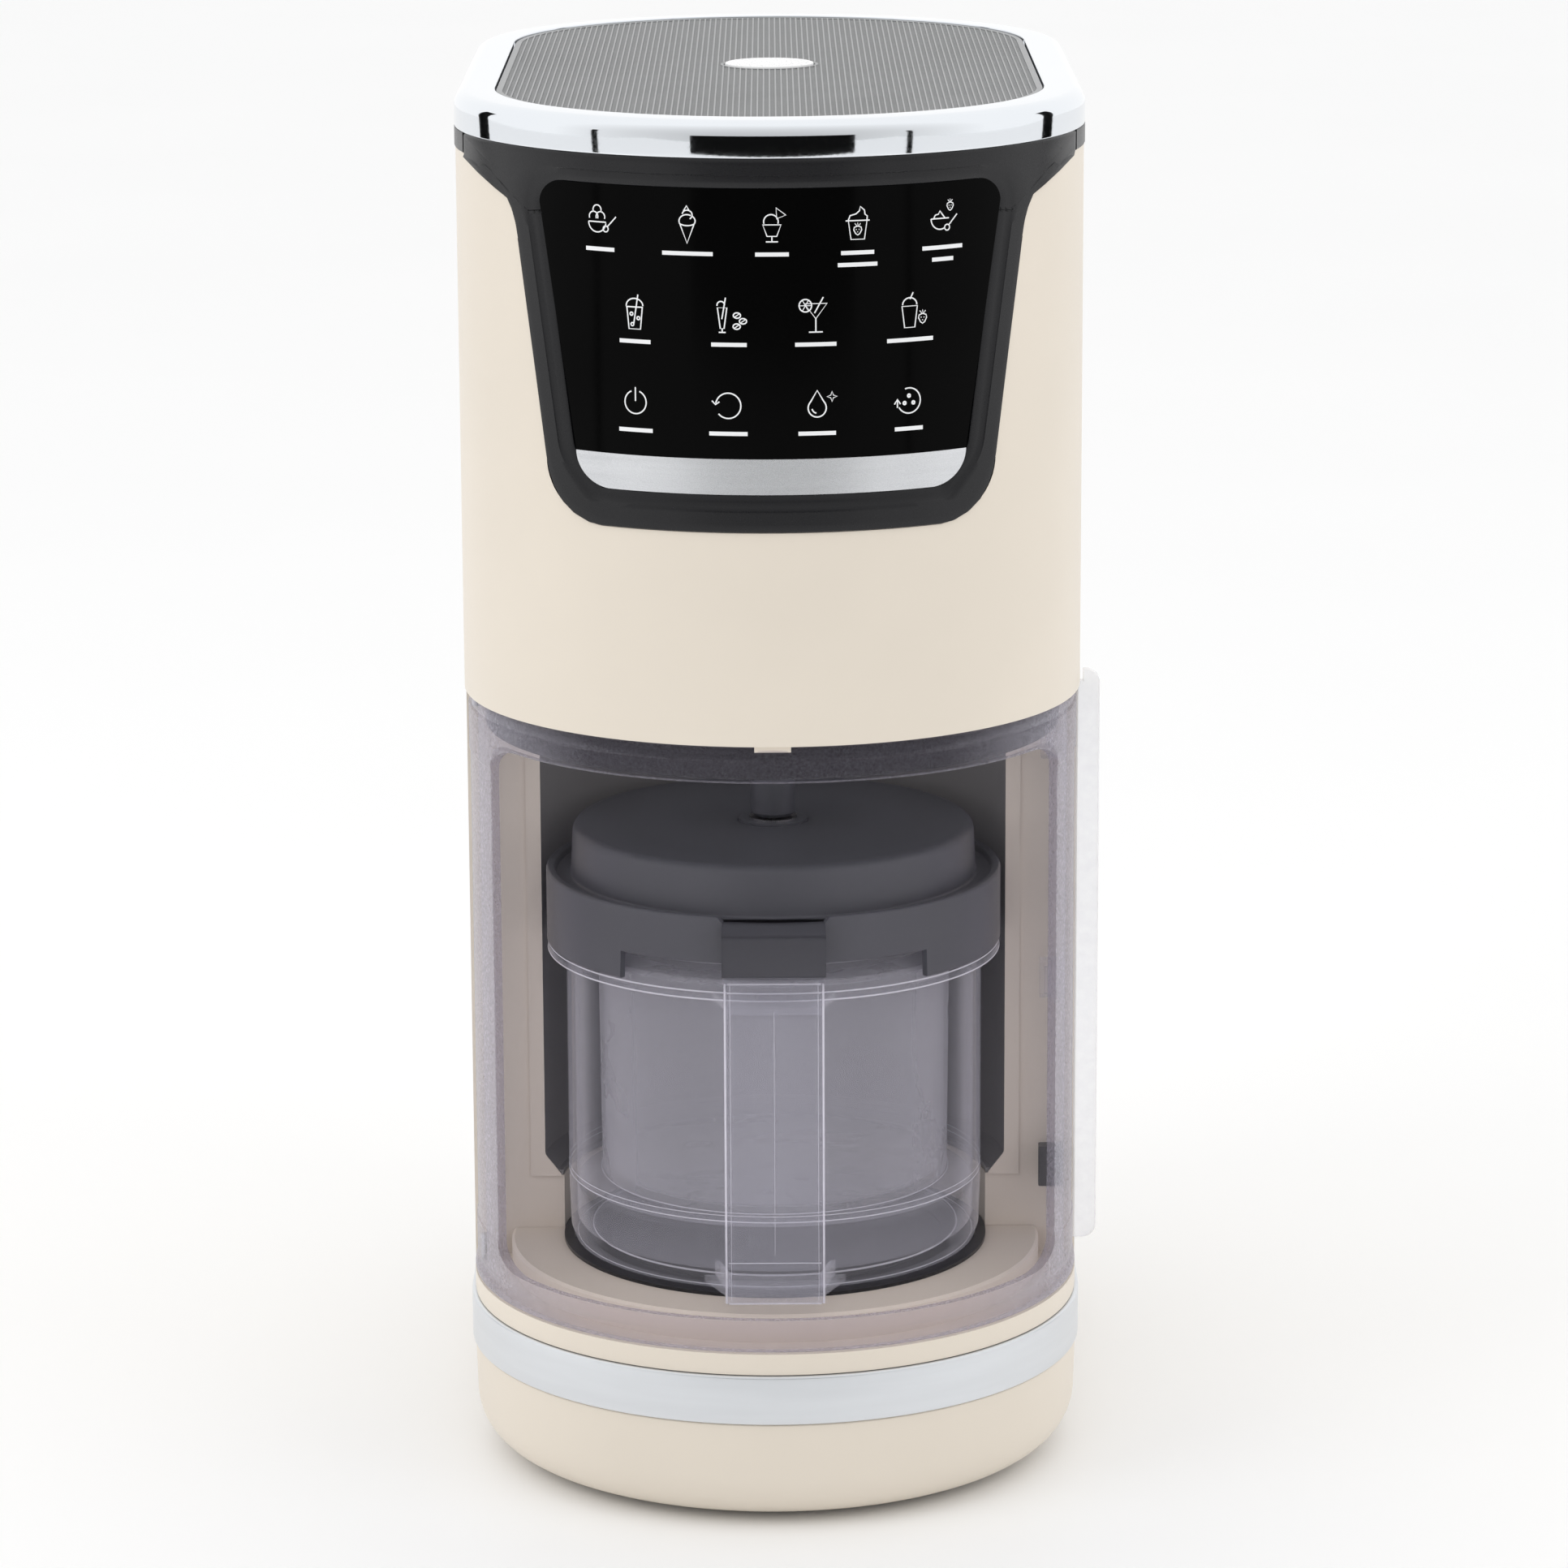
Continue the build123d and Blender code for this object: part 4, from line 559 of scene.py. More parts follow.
def cone_symbol():
    return [
        pen((-2.4, 0.3), (0, -6.0), (2.4, 0.3)),
        curve(0, 0.9, 2.7, 190, 350, 0.4),
        curve(0, 1.3, 2.7, 60, 200, 0.8),
        curve(0.4, 1.4, 2.4, -25, 60, 0.8),
        curve(0.1, 3.4, 1.7, -60, 170, 0.9),
        pen((-1.2, 4.6), (-0.1, 6.4), (0.7, 4.9)),
    ]


def berry(x, z, size):
    """A strawberry outline with its leaves."""
    body = [(-0.75, 0.55), (0, 0.8), (0.75, 0.55), (0.85, 0),
            (0.45, -0.75), (0, -1.05), (-0.45, -0.75), (-0.85, 0)]
    leaves = [(-0.6, 1.35), (-0.2, 0.8), (0, 1.5), (0.2, 0.8), (0.6, 1.35)]
    body, leaves = ([(x + size * dx, z + size * dz) for dx, dz in line] for line in (body, leaves))
    dots = [stroke(arc(x + size * dx, z + size * dz, 0.08, 0, 360, 1.0, 6), half=0.12)
            for dx, dz in ((-0.3, 0.1), (0.3, 0.1), (0.0, -0.4))]
    return [stroke(body, closed=True, half=0.18), stroke(leaves, half=0.15), *dots]


def spoon(x, z):
    """A spoon leaning up to the right."""
    return [
        stroke(arc(x, z, 1.0, 0, 360, 1.0, 12), closed=True),
        pen((x + 0.7, z + 0.8), (x + 4.0, z + 4.2)),
    ]


def cup_symbol():
    return [
        loop((-3.0, 0.4), (3.0, 0.4), (1.6, -3.4), (-1.6, -3.4)),
        pen((0, -3.4), (0, -5.2)),
        pen((-2.0, -5.2), (2.0, -5.2)),
        curve(-0.3, 1.4, 2.4, -15, 195),
        loop((1.6, 2.4), (1.4, 6.0), (4.6, 3.6)),
    ]


def tub_symbol():
    return [
        loop((-3.2, 1.2), (3.2, 1.2), (2.3, -5.0), (-2.3, -5.0)),
        pen((-4.1, 1.2), (4.1, 1.2)),
        pen((-3.2, 1.4), (-2.6, 2.9), (-0.6, 3.4), (0.6, 4.4), (0.9, 5.8),
            (2.3, 4.6), (2.5, 3.2), (3.3, 2.6), (3.2, 1.4)),
        *berry(0, -1.9, 1.6),
    ]


def dish_symbol():
    return [
        pen((-4.6, 0.2), (2.4, 0.2)),
        curve(-1.0, 0.2, 3.6, 180, 300),
        pen((-3.6, 0.3), (-3.0, 1.4), (-1.7, 1.7), (-1.2, 2.7), (-0.2, 1.5), (0.8, 0.3)),
        *spoon(1.7, -2.9),
        *berry(2.9, 4.2, 1.5),
    ]


def beaker_symbol():
    return [
        pen((-2.7, 2.2), (-2.0, -4.8), (2.0, -4.8), (2.7, 2.2)),
        stroke(arc(0, 2.6, 2.9, 0, 180, 0.8) + [(-2.9, 2.2), (2.9, 2.2)]),
        pen((-0.3, -3.0), (1.2, 6.2)),
        curve(-1.1, 0.0, 0.5, 0, 360),
        curve(1.3, -1.3, 0.5, 0, 360),
        curve(-0.8, -3.3, 0.5, 0, 360),
    ]


def frappe_symbol():
    lines = [
        loop((-3.6, 3.0), (-2.7, -3.6), (-1.5, -3.6), (-0.6, 3.0)),
        pen((-3.2, -4.8), (-1.0, -4.8)),
        pen((-2.1, -3.6), (-2.1, -4.8)),
        pen((-2.2, -0.6), (-1.0, 6.2)),
        curve(-2.5, 3.8, 1.2, 0, 190),
    ]
    for x, z in ((2.6, 0.6), (4.5, -1.2), (2.5, -2.9)):
        lines.append(curve(x, z, 1.15, 0, 360, 0.75))
        lines.append(pen((x - 0.7, z - 0.5), (x + 0.7, z + 0.5), half=0.15))
    return lines


def glass_symbol():
    slice_x, slice_z = -3.3, 3.6
    spokes = [(slice_x + 1.8 * cos(k * pi / 3), slice_z + 1.8 * sin(k * pi / 3)) for k in range(6)]
    return [
        loop((-3.6, 4.2), (3.6, 4.2), (0, -0.6)),
        pen((0, -0.6), (0, -4.8)),
        pen((-2.2, -4.8), (2.2, -4.8)),
        pen((-0.4, 1.2), (2.4, 6.2)),
        stroke(arc(slice_x, slice_z, 2.0, 0, 360), closed=True),
        *[pen((slice_x, slice_z), spoke, half=0.12) for spoke in spokes],
    ]


def shake_symbol():
    return [
        loop((-3.0, 2.0), (-2.1, -4.8), (1.5, -4.8), (2.4, 2.0)),
        curve(-0.3, 2.4, 2.5, 0, 180, 0.9),
        pen((-0.2, 4.2), (0.9, 6.3)),
        *berry(4.3, -2.0, 1.7),
    ]


def power_symbol():
    return [curve(0, 0, 3.6, 112, 428, 1.0, 30), pen((0, 0.3), (0, 4.6))]


def turn_symbol():
    return [
        curve(0, 0, 3.9, -140, 170, 1.0, 30),
        pen((-5.0, 1.5), (-3.9, 0.3), (-2.7, 1.2)),
    ]


def clean_symbol():
    drop = [(0, 4.6), (-2.0, 1.2)] + arc(0, -0.8, 2.8, 150, 390, 1.0, 20) + [(2.0, 1.2)]
    spark = [(4.6, 4.2), (5.0, 3.0), (6.2, 2.6), (5.0, 2.2), (4.6, 1.0), (4.2, 2.2), (3.0, 2.6), (4.2, 3.0)]
    shine = arc(0, -0.8, 1.6, 190, 260)
    return [stroke(drop, closed=True), stroke(spark, closed=True, half=0.14), stroke(shine)]


def mix_symbol():
    dots = [stroke(arc(dx, dz, 0.42, 0, 360, 1.0, 10), half=0.3)
            for dx, dz in ((-1.5, -0.7), (1.5, -0.7), (0.0, 1.5))]
    return [
        curve(0, 0, 3.9, -150, 110, 1.0, 30),
        pen((-3.9, 0.6), (-3.9, -2.0)),
        pen((-4.9, -0.9), (-3.9, 0.6), (-2.9, -0.9)),
        *dots,
    ]


def caption_bar(half):
    """A plain bar in the place of a symbol's printed name."""
    return stroke([(half * (k / 4 - 1), 0) for k in range(9)], half=0.55)


# Each row of the panel: height of the symbols, their scale, height of the captions, bearings in
# degrees, half widths of each caption's lines, and the drawings.
ROWS = (
    (368.1, 0.81, 360.5, (-31.3, -14.6, 0.3, 15.4, 31.8),
     ((4.5,), (7.0,), (4.5,), (4.6, 5.5), (6.4, 3.4)),
     (bowl_symbol, cone_symbol, cup_symbol, tub_symbol, dish_symbol)),
    (343.6, 0.85, 336.2, (-24.5, -7.3, 7.9, 25.3), ((4.6,), (4.8,), (5.6,), (6.9,)),
     (beaker_symbol, frappe_symbol, glass_symbol, shake_symbol)),
    (319.7, 0.88, 312.1, (-24.5, -7.5, 8.1, 25.0), ((5.0,), (5.2,), (5.1,), (4.2,)),
     (power_symbol, turn_symbol, clean_symbol, mix_symbol)),
)
LINE_PITCH = 3.2


def placed(line, bearing, z, scale):
    """The drawn line shrunk about its symbol's middle and turned to its bearing."""
    points, faces = line
    moved = []
    for x, y, height in points:
        away = atan2(x, -y) * scale + radians(bearing)
        radius = hypot(x, y)
        moved.append((radius * sin(away), -radius * cos(away), height * scale + z))
    return moved, faces


def symbols():
    parts = []
    for z, scale, caption_z, bearings, captions, drawings in ROWS:
        for bearing, halves, drawing in zip(bearings, captions, drawings):
            parts += [placed(line, bearing, z, scale) for line in drawing()]
            for row, half in enumerate(halves):
                parts.append(placed(caption_bar(half), bearing, caption_z - row * LINE_PITCH, 1.0))
    piece("panel_symbols", joined(*parts), INK, "body", slot="badge_metal")


# ---- Top -------------------------------------------------------------------
COLUMN_PITCH = 1.66
RIB_WIDTH = 0.42
BAR_PITCH = 1.95
BAR_WIDTH = 1.1


def block(x0, x1, y0, y1, z0, z1):
    points = [(x, y, z) for z in (z0, z1) for x, y in ((x0, y0), (x1, y0), (x1, y1), (x0, y1))]
    faces = [(0, 1, 2, 3), (4, 5, 6, 7), (0, 1, 5, 4), (1, 2, 6, 5), (2, 3, 7, 6), (3, 0, 4, 7)]
    return points, faces


def runs_past(badge_r, away, low, high, middle):
    """The stretch from low to high, broken where it would cross the badge."""
    if abs(away) >= badge_r:
        return [(low, high)]
    gap = sqrt(badge_r * badge_r - away * away)
    return [(low, middle - gap), (middle + gap, high)]


def grille():
    """Ribs from front to back with short cross bars between them, inside a rim."""
    edge = GRILLE_R - 1.3
    badge_y, badge_r = STRAIGHT / 2, 14.2
    low, rib_top = grille_lo.z, grille_hi.z
    bar_low, bar_top = low + 0.4, rib_top - 0.28
    half_rib, half_bar = RIB_WIDTH / 2, BAR_WIDTH / 2
    parts = []
    columns = int(edge / COLUMN_PITCH)
    for c in range(-columns, columns + 1):
        x = c * COLUMN_PITCH
        reach = sqrt(edge * edge - x * x)
        for y0, y1 in runs_past(badge_r, x, -reach, STRAIGHT + reach, badge_y):
            parts.append(block(x - half_rib, x + half_rib, y0, y1, low, rib_top))
    bars = int((edge + STRAIGHT / 2) / BAR_PITCH)
    for b in range(-bars, bars + 1):
        away = b * BAR_PITCH
        y = badge_y + away
        reach = sqrt(edge * edge - max(0.0, abs(away) + half_bar - STRAIGHT / 2) ** 2)
        for x0, x1 in runs_past(badge_r, away, -reach, reach, 0.0):
            parts.append(block(x0, x1, y - half_bar, y + half_bar, bar_low, bar_top))
    for path, outer, inner, soft in (
        (stadium_path(), GRILLE_R, edge - 0.4, 0.35), (round_path(96, badge_y), badge_r, badge_r - 0.9, 0.2),
    ):
        rim = rounded([
            (outer, low, 0.0), (outer, rib_top, soft), (inner, rib_top, 0.2), (inner, low, 0.0),
        ], 3)
        parts.append(strips(swept(path, rim)))
    piece("grille_mesh", joined(*parts), GRILLE, "body", "top_grille")


def badge():
    """A plain disc with a shallow dish and a soft edge."""
    badge_lo, badge_hi = span("top_badge")
    radius, low, top = badge_hi.x, badge_lo.z, badge_hi.z
    profile = [
        (HUB, top - 0.12), (radius - 2.2, top - 0.16), (radius - 1.9, top - 0.02), (radius - 0.6, top),
        (radius - 0.12, top - 0.18), (radius, top - 0.6), (radius, low), (HUB, low),
    ]
    piece("badge_disc", strips(swept(round_path(96, STRAIGHT / 2), profile)), BADGE, "body", "top_badge")


def bezel():
    outer, low = bezel_hi.x, bezel_lo.z
    mouth, ledge, ledge_z = GRILLE_R + 0.35, GRILLE_R - 2.0, grille_lo.z - 0.1
    ring_piece("bezel_skin", [
        (outer, low, 0.4), (outer, bezel_hi.z - 0.1, 4.2), (mouth, bezel_hi.z, 0.35),
        (mouth, ledge_z, 0.0), (ledge, ledge_z, 0.0), (ledge, low, 0.0),
    ], CHROME, "body", "chrome_bezel", steps=10)


# ---- Door ------------------------------------------------------------------
DOOR_R = 87.0
DOOR_IN = 84.3
CORNER = 7.5


def window_heights(bearing):
    """The window's lower and upper edge at this bearing, with rounded corners."""
    x = DOOR_R * sin(bearing)
    left, right = window_lo.x, window_hi.x
    inside = min(x - left, right - x)
    low, high = window_lo.z, window_hi.z
    if inside <= 0:
        return low + CORNER, high - CORNER
    if inside < CORNER:
        rise = CORNER - sqrt(CORNER * CORNER - (CORNER - inside) ** 2)
        return low + rise, high - rise
    return low, high


def door_stations():
    """(centre y, bearing) from the hinge edge to the free edge, dense at the window's corners."""
    pins_lo, pins_hi = span("hinge_pins")
    hinge_y = (pins_lo.y + pins_hi.y) / 2
    turn = radians(2.0)

    def turned(first, last):
        """Even steps from first that stay short of last."""
        return [first + turn * k for k in range(ceil((last - first) / turn))]

    corner = (0.0, 0.15, 0.6, 1.4, 2.6, 4.2, 6.0, CORNER)
    left = [asin((window_lo.x + x) / DOOR_R) for x in corner]
    right = [asin((window_hi.x - x) / DOOR_R) for x in reversed(corner)]
    bearings = turned(turn - pi / 2, left[0] - radians(0.8)) + left
    bearings += turned(left[-1] + turn, right[0] - radians(0.6)) + right
    bearings += turned(right[-1] + turn, pi / 2 - radians(0.8))
    stations = [(hinge_y, -pi / 2), (hinge_y / 2, -pi / 2), (0.0, -pi / 2)]
    stations += [(0.0, bearing) for bearing in bearings]
    return stations + [(0.0, pi / 2), (2.6, pi / 2), (door_hi.y, pi / 2)]


def door():
    low, high = door_lo.z, door_hi.z
    # Outer surface from the bottom up: a rolled lip, a soft step, the face, and a rim at the top.
    below = [
        (low, DOOR_R + 0.1), (low + 0.25, DOOR_R + 0.5), (low + 0.9, DOOR_R + 0.68),
        (low + 1.9, DOOR_R + 0.55), (low + 2.8, DOOR_R + 0.15), (low + 3.5, DOOR_R - 0.3),
        (low + 4.2, DOOR_R - 0.45), (low + 5.0, DOOR_R - 0.25), (low + 5.8, DOOR_R),
    ]
    above = [
        (high - 4.4, DOOR_R), (high - 4.0, DOOR_R - 0.15), (high - 3.6, DOOR_R - 0.75),
        (high - 3.1, DOOR_R - 0.6), (high - 2.0, DOOR_R - 0.3), (high - 0.8, DOOR_R - 0.35),
        (high - 0.2, DOOR_R - 0.7), (high, DOOR_R - 1.1),
    ]
    edge, sunk = 0.5, DOOR_R - 0.35
    rings = []
    openings = []
    for y, bearing in door_stations():
        wz0, wz1 = window_heights(bearing)
        x = DOOR_R * sin(bearing)
        openings.append(y == 0.0 and window_lo.x - 0.01 <= x <= window_hi.x + 0.01)
        outer = below + [(wz0 - edge, DOOR_R), (wz0, sunk), (wz1, sunk), (wz1 + edge, DOOR_R)] + above
        inner = [(high, DOOR_IN), (wz1, DOOR_IN), (wz0, DOOR_IN), (low, DOOR_IN)]
        rings += swept([bearing_station(bearing, y)], [(r, z) for z, r in outer + inner])
    count = len(rings[0])
    points = [p for ring in rings for p in ring]
    window_outer = len(below) + 1
    window_inner = len(below) + 4 + len(above) + 1
    faces = []
    for i in range(len(rings) - 1):
        opened = openings[i] and openings[i + 1]
        for k in range(count):
            m = (k + 1) % count
            if opened and k in (window_outer, window_inner):
                continue
            faces.append((i * count + k, (i + 1) * count + k, (i + 1) * count + m, i * count + m))
        if opened:
            for a, b in ((window_outer, window_inner + 1), (window_inner, window_outer + 1)):
                faces.append((i * count + a, (i + 1) * count + a, (i + 1) * count + b, i * count + b))
    for i in (openings.index(True), len(openings) - 1 - openings[::-1].index(True)):
        jamb = (window_outer, window_outer + 1, window_inner, window_inner + 1)
        faces.append(tuple(i * count + k for k in jamb))
    faces.append(tuple(range(count)))
    faces.append(tuple((len(rings) - 1) * count + k for k in range(count)))
    piece("door_skin", (points, faces), FROSTED, "door", "door_frame")


def fin():
    """The door's grip: a flat blade with round outer corners and softened edges."""
    x0, x1, z0, z1 = fin_lo.x, fin_hi.x, fin_lo.z, fin_hi.z
    step_x, step_z = BODY_R + 1.0, door_hi.z + 0.1
    outline = rounded([
        (x0, z0, 0.4), (x1, z0, 4.0), (x1, z1, 4.0),
        (step_x, z1, 0.3), (step_x, step_z, 0.2), (x0, step_z, 0.3),
    ], 7)
    soft = 0.3
    small = grown(outline, ((x0 + x1) / 2, (z0 + z1) / 2), -soft)
    levels = ((small, fin_lo.y), (outline, fin_lo.y + soft), (outline, fin_hi.y - soft), (small, fin_hi.y))
    piece("door_fin", strips([[(x, y, z) for x, z in line] for line, y in levels], closed=False),
          FIN, "door", "door_handle", slot="clear_plastic")


def door_inside():
    """A clear rib down the free edge, with the clips and the magnet block standing on it."""
    magnet_lo, magnet_hi = span("door_magnet")
    clips_lo, clips_hi = span("door_clips")
    inner, outer, front, back = 77.0, DOOR_IN - 0.1, -2.8, 1.8
    hook, margin = 1.6, 1.5

    def upright(x0, x1, y0, y1, z0, z1, radius):
        plan = rounded([(x0, y0, radius), (x1, y0, radius), (x1, y1, radius), (x0, y1, radius)], 4)
        return strips([[(x, y, z) for x, y in plan] for z in (z0, z1)], closed=False)

    piece("magnet_block", upright(inner, outer, front, back, magnet_lo.z, magnet_hi.z, 0.7),
          BLACK, "door", "door_magnet")
    clips = []
    for z0, z1 in ((clips_lo.z, clips_lo.z + 11.0), (clips_hi.z - 8.0, clips_hi.z)):
        clips.append(upright(inner, outer, front, back, z0, z1, 0.7))
        z0, z1 = z0 + margin, z1 - margin
        clips.append(upright(inner + 1.2, inner + 3.0, front - hook, front + 0.1, z0, z1, 0.5))
    piece("clip_blocks", joined(*clips), CLEAR, "door", "door_clips")
    piece("door_rib", upright(inner + 2.3, inner + 3.9, -1.6, 0.6, window_lo.z, window_hi.z, 0.4),
          CLEAR, "door")


# ---- Bowl, tub and lid -----------------------------------------------------
BOWL_R = 60.0
NECK_R = 61.4
FLANGE_R = bowl_hi.x
FLANGE = grip_hi.z - 10.3
TUB_R = 50.8
LID_R = 65.5
TURRET_R = 58.0
LID_SHOULDER = 171.5
LID_FLOOR = LID_SHOULDER - 1.2
GRIP_FRONT = -80.0
GRIP_HALF = 14.0


def bowl():
    """The clear outer bowl, turned on its axis: foot, wall, flange and neck, and a ledge inside."""
    low, lip = bowl_lo.z, bowl_hi.z
    inside, bore = BOWL_R - 2.2, NECK_R - 2.1
    flange_top, ledge, ledge_r = FLANGE + 2.6, tub_lo.z - 0.08, 47.0
    profile = rounded([
        (HUB, low + 2.3, 0.0), (52.9, low + 2.3, 0.6), (53.7, low, 0.3), (BOWL_R - 1.6, low, 0.8),
        (BOWL_R - 0.4, low + 3.5, 3.0), (BOWL_R, low + 16.0, 3.0), (BOWL_R, FLANGE, 0.8),
        (FLANGE_R, FLANGE, 0.8), (FLANGE_R, flange_top, 0.8), (NECK_R, flange_top, 0.3), (NECK_R, lip, 0.6),
        (bore, lip, 0.6), (bore, flange_top, 0.2), (inside, flange_top, 0.3), (inside, ledge, 0.4),
        (ledge_r, ledge, 0.5), (ledge_r, tub_lo.z - 2.2, 0.5), (inside, tub_lo.z - 2.2, 0.6),
        (inside, low + 4.7, 2.0), (HUB, low + 4.7, 0.0),
    ], 4)
    piece("bowl_skin", strips(swept(round_path(), profile)), CLEAR, "bowl", "outer_bowl")


def tub():
    """The inner tub, with fine upright ribs on the inside of its wall."""
    low, top, rim = tub_lo.z + 0.05, tub_hi.z, tub_hi.x
    wall, rib_height, rib_every, turns = 1.6, 0.22, 14, 168
    rings = []
    for k in range(turns):
        rib = rib_height if k % rib_every in (0, 1) else 0.0
        profile = rounded([
            (HUB, low, 0.0), (TUB_R - 0.6, low, 2.4), (TUB_R, top - 1.6, 0.5), (rim, top - 1.6, 0.3),
            (rim, top, 0.4), (TUB_R - wall, top, 0.6), (TUB_R - wall - rib, low + wall + 1.0, 2.6),
            (HUB, low + wall, 0.0),
        ], 4)
        rings += swept([bearing_station(2 * pi * k / turns)], profile)
    piece("tub_skin", strips(rings), TUB, "bowl", "inner_tub", slot="clear_plastic")


def handle():
    """U-section grip with soft corners, splayed webs at its foot and at the flange."""
    half, front, back, wall = GRIP_HALF, GRIP_FRONT, -69.6, 2.4
    low, top = grip_lo.z, grip_hi.z
    soft = 0.5
    section = rounded([
        (-half, front, 2.2), (half, front, 2.2), (half, back, 0.5), (half - wall, back, 0.5),
        (half - wall, front + wall, 1.2), (-half + wall, front + wall, 1.2),
        (-half + wall, back, 0.5), (-half, back, 0.5),
    ], 5)
    levels = ((low, soft), (low + soft, 0.0), ((low + top) / 2, 0.0), (top - soft, 0.0), (top, soft))
    rings = [[(x, y + drawn_in * (y < front + wall / 2), z) for x, y in section] for z, drawn_in in levels]
    parts = [strips(rings, closed=False)]

    def level(outline, z0, z1):
        return strips([[(x, y, z) for x, y in outline] for z in (z0, z1)], closed=False)

    def web(z0, z1, root, reach):
        outline = rounded([
            (-half + 0.4, front + 1.6, 0.5), (half - 0.4, front + 1.6, 0.5), (half, back - 2.0, 2.0),
            (reach, -root, 0.0), (-reach, -root, 0.0), (-half, back - 2.0, 2.0),
        ], 4)
        return level(outline, z0, z1)

    parts.append(web(low, low + 1.8, 57.8, 20.0))
    parts.append(web(FLANGE, FLANGE + 2.4, 63.0, 17.0))
    for sign in (-1, 1):
        gusset = rounded([
            (sign * half, back - 1.0, 0.3), (sign * (half - 1.6), back - 1.0, 0.3),
            (sign * 15.5, -58.0, 0.0), (sign * 17.0, -57.6, 0.0),
        ], 3)
        parts.append(level(gusset, low + 1.8, low + 6.0))
    piece("handle_skin", joined(*parts), CLEAR, "bowl", "bowl_handle")


def bead(path, radius, z, size):
    """A painted highlight: a fine bright ring laid where light gathers in the edge of a clear moulding."""
    section = [(radius - size, z), (radius, z + size), (radius + size * 0.4, z), (radius, z - size)]
    return strips(swept(path, section))


def glint_lines():
    """Painted highlights: fine bright rings and strips laid on the edges of the clear bowl and its handle.
    """
    glint_rings = (
        (FLANGE_R, FLANGE + 0.3, 0.22), (FLANGE_R - 0.2, FLANGE + 2.4, 0.22),
        (NECK_R - 0.1, bowl_hi.z - 0.2, 0.16),
        (BOWL_R, tub_lo.z + 2.0, 0.16), (BOWL_R, tub_lo.z + 3.7, 0.12), (57.6, bowl_lo.z + 0.6, 0.16),
        (53.2, bowl_lo.z + 2.6, 0.3), (TUB_R - 0.2, tub_lo.z + 1.6, 0.14),
    )
    parts = [bead(round_path(), radius, z, size) for radius, z, size in glint_rings]
    # Painted highlights on the handle: thin bright strips down its front corners, across its face and down
    # its middle.
    front, low, top = GRIP_FRONT + 0.25, grip_lo.z + 0.3, grip_hi.z - 1.2
    face = front - 0.02
    for sign in (-1, 1):
        for x, y, half in ((13.6, front + 0.5, 0.26), (12.2, front + 2.2, 0.07)):
            parts.append(block(sign * x - half, sign * x + half, y - half, y + half, low, top))
    for z, half in ((low, 0.2), (low + 11.8, 0.07), (top, 0.2), (top - 2.6, 0.07)):
        parts.append(block(-12.9, 12.9, face, front + 0.3, z - half, z + half))
    parts.append(block(-0.05, 0.05, face, front + 0.1, low + 14.0, top - 8.0))
    piece("bowl_edges", joined(*parts), PAINTED_HIGHLIGHT, "bowl", slot="clear_plastic")


NOTCH = radians(41.0)
TAB_HALF = 14.4


def lid_rim():
    """The lid turned on its axis. Its rim is cut short at the notch, and the rim's bead fades
    out at the tab."""
    low, shoulder, top = lid_lo.z, LID_SHOULDER, lid_hi.z
    turret, bush, wall, skirt = TURRET_R, 10.0, 2.2, 2.0
    notch_z, floor_z = 158.8, LID_FLOOR
    gap, fade, steps = asin(TAB_HALF / LID_R), radians(1.6), 6
    edge = radians(0.25)
    turns = 180
    bearings = [-pi + 2 * pi * k / turns for k in range(turns)]
    bearings += [-NOTCH - edge, -NOTCH, NOTCH, NOTCH + edge]
    bearings += [sign * (gap + fade * k / steps) for sign in (-1, 1) for k in range(steps + 1)]
    rings = []
    for bearing in sorted(bearings):
        foot = notch_z if abs(bearing) <= NOTCH + 1e-6 else low
        past = min(1.0, max(0.0, (abs(bearing) - gap) / fade))
        bead_z = floor_z + (shoulder + 0.7 - floor_z) * sin(past * pi / 2)
        lip = max(0.02, (bead_z - floor_z) * 0.45)
        profile = rounded([
            (LID_R - skirt, foot, 0.4), (LID_R, foot, 0.4), (LID_R, bead_z, lip), (LID_R - 2.4, bead_z, lip),
            (LID_R - 2.9, floor_z, 0.02), (turret + 0.4, floor_z, 0.8), (turret - 0.3, top, 2.6),
            (bush, top, 0.5), (bush, shoulder, 0.0), (bush + 3, shoulder, 0.0), (bush + 3, top - wall, 0.0),
            (turret - 3.4, top - wall, 1.2), (turret - 2.2, floor_z - wall, 0.0),
            (LID_R - skirt, floor_z - wall, 0.0),
        ], 4)
        rings += swept([bearing_station(bearing)], profile)
    return strips(rings)


def lid():
    """The turned lid with its thumb tab, which runs on from the flat ring between two cheeks."""
    parts = [lid_rim()]
    front, root, wall = GRIP_FRONT, -TURRET_R - 1.0, 2.2
    tab_low, tab_top = 158.9, LID_FLOOR
    section = rounded([
        (front, tab_low, 0.6), (front, tab_top, 0.9), (root, tab_top, 0.0), (root, tab_top - wall, 0.0),
        (front + wall, tab_top - wall, 0.6), (front + wall, tab_low, 0.4),
    ], 5)
    cheek_top = tab_top - 0.15
    cheek = rounded([
        (front + 0.3, tab_low, 0.6), (front + 0.3, cheek_top, 0.9),
        (-62.0, cheek_top, 0.0), (-62.0, tab_low, 0.0),
    ], 5)
    for outline, x0, x1 in (
        (section, -TAB_HALF + 0.3, TAB_HALF - 0.3),
        (cheek, -TAB_HALF + 2.0, -TAB_HALF),
        (cheek, TAB_HALF - 2.0, TAB_HALF),
    ):
        parts.append(strips([[(x, y, z) for y, z in outline] for x in (x0, x1)], closed=False))
    piece("lid_skin", joined(*parts), LID, "lid", "bowl_lid")


# ---- Niche -----------------------------------------------------------------
NICHE_R = 67.5
NICHE_STEP = 4.9
SPINE_FRONT = 6.0
liner_lo, liner_hi = span("niche_liner")
NICHE_LOW = liner_lo.z + 0.05


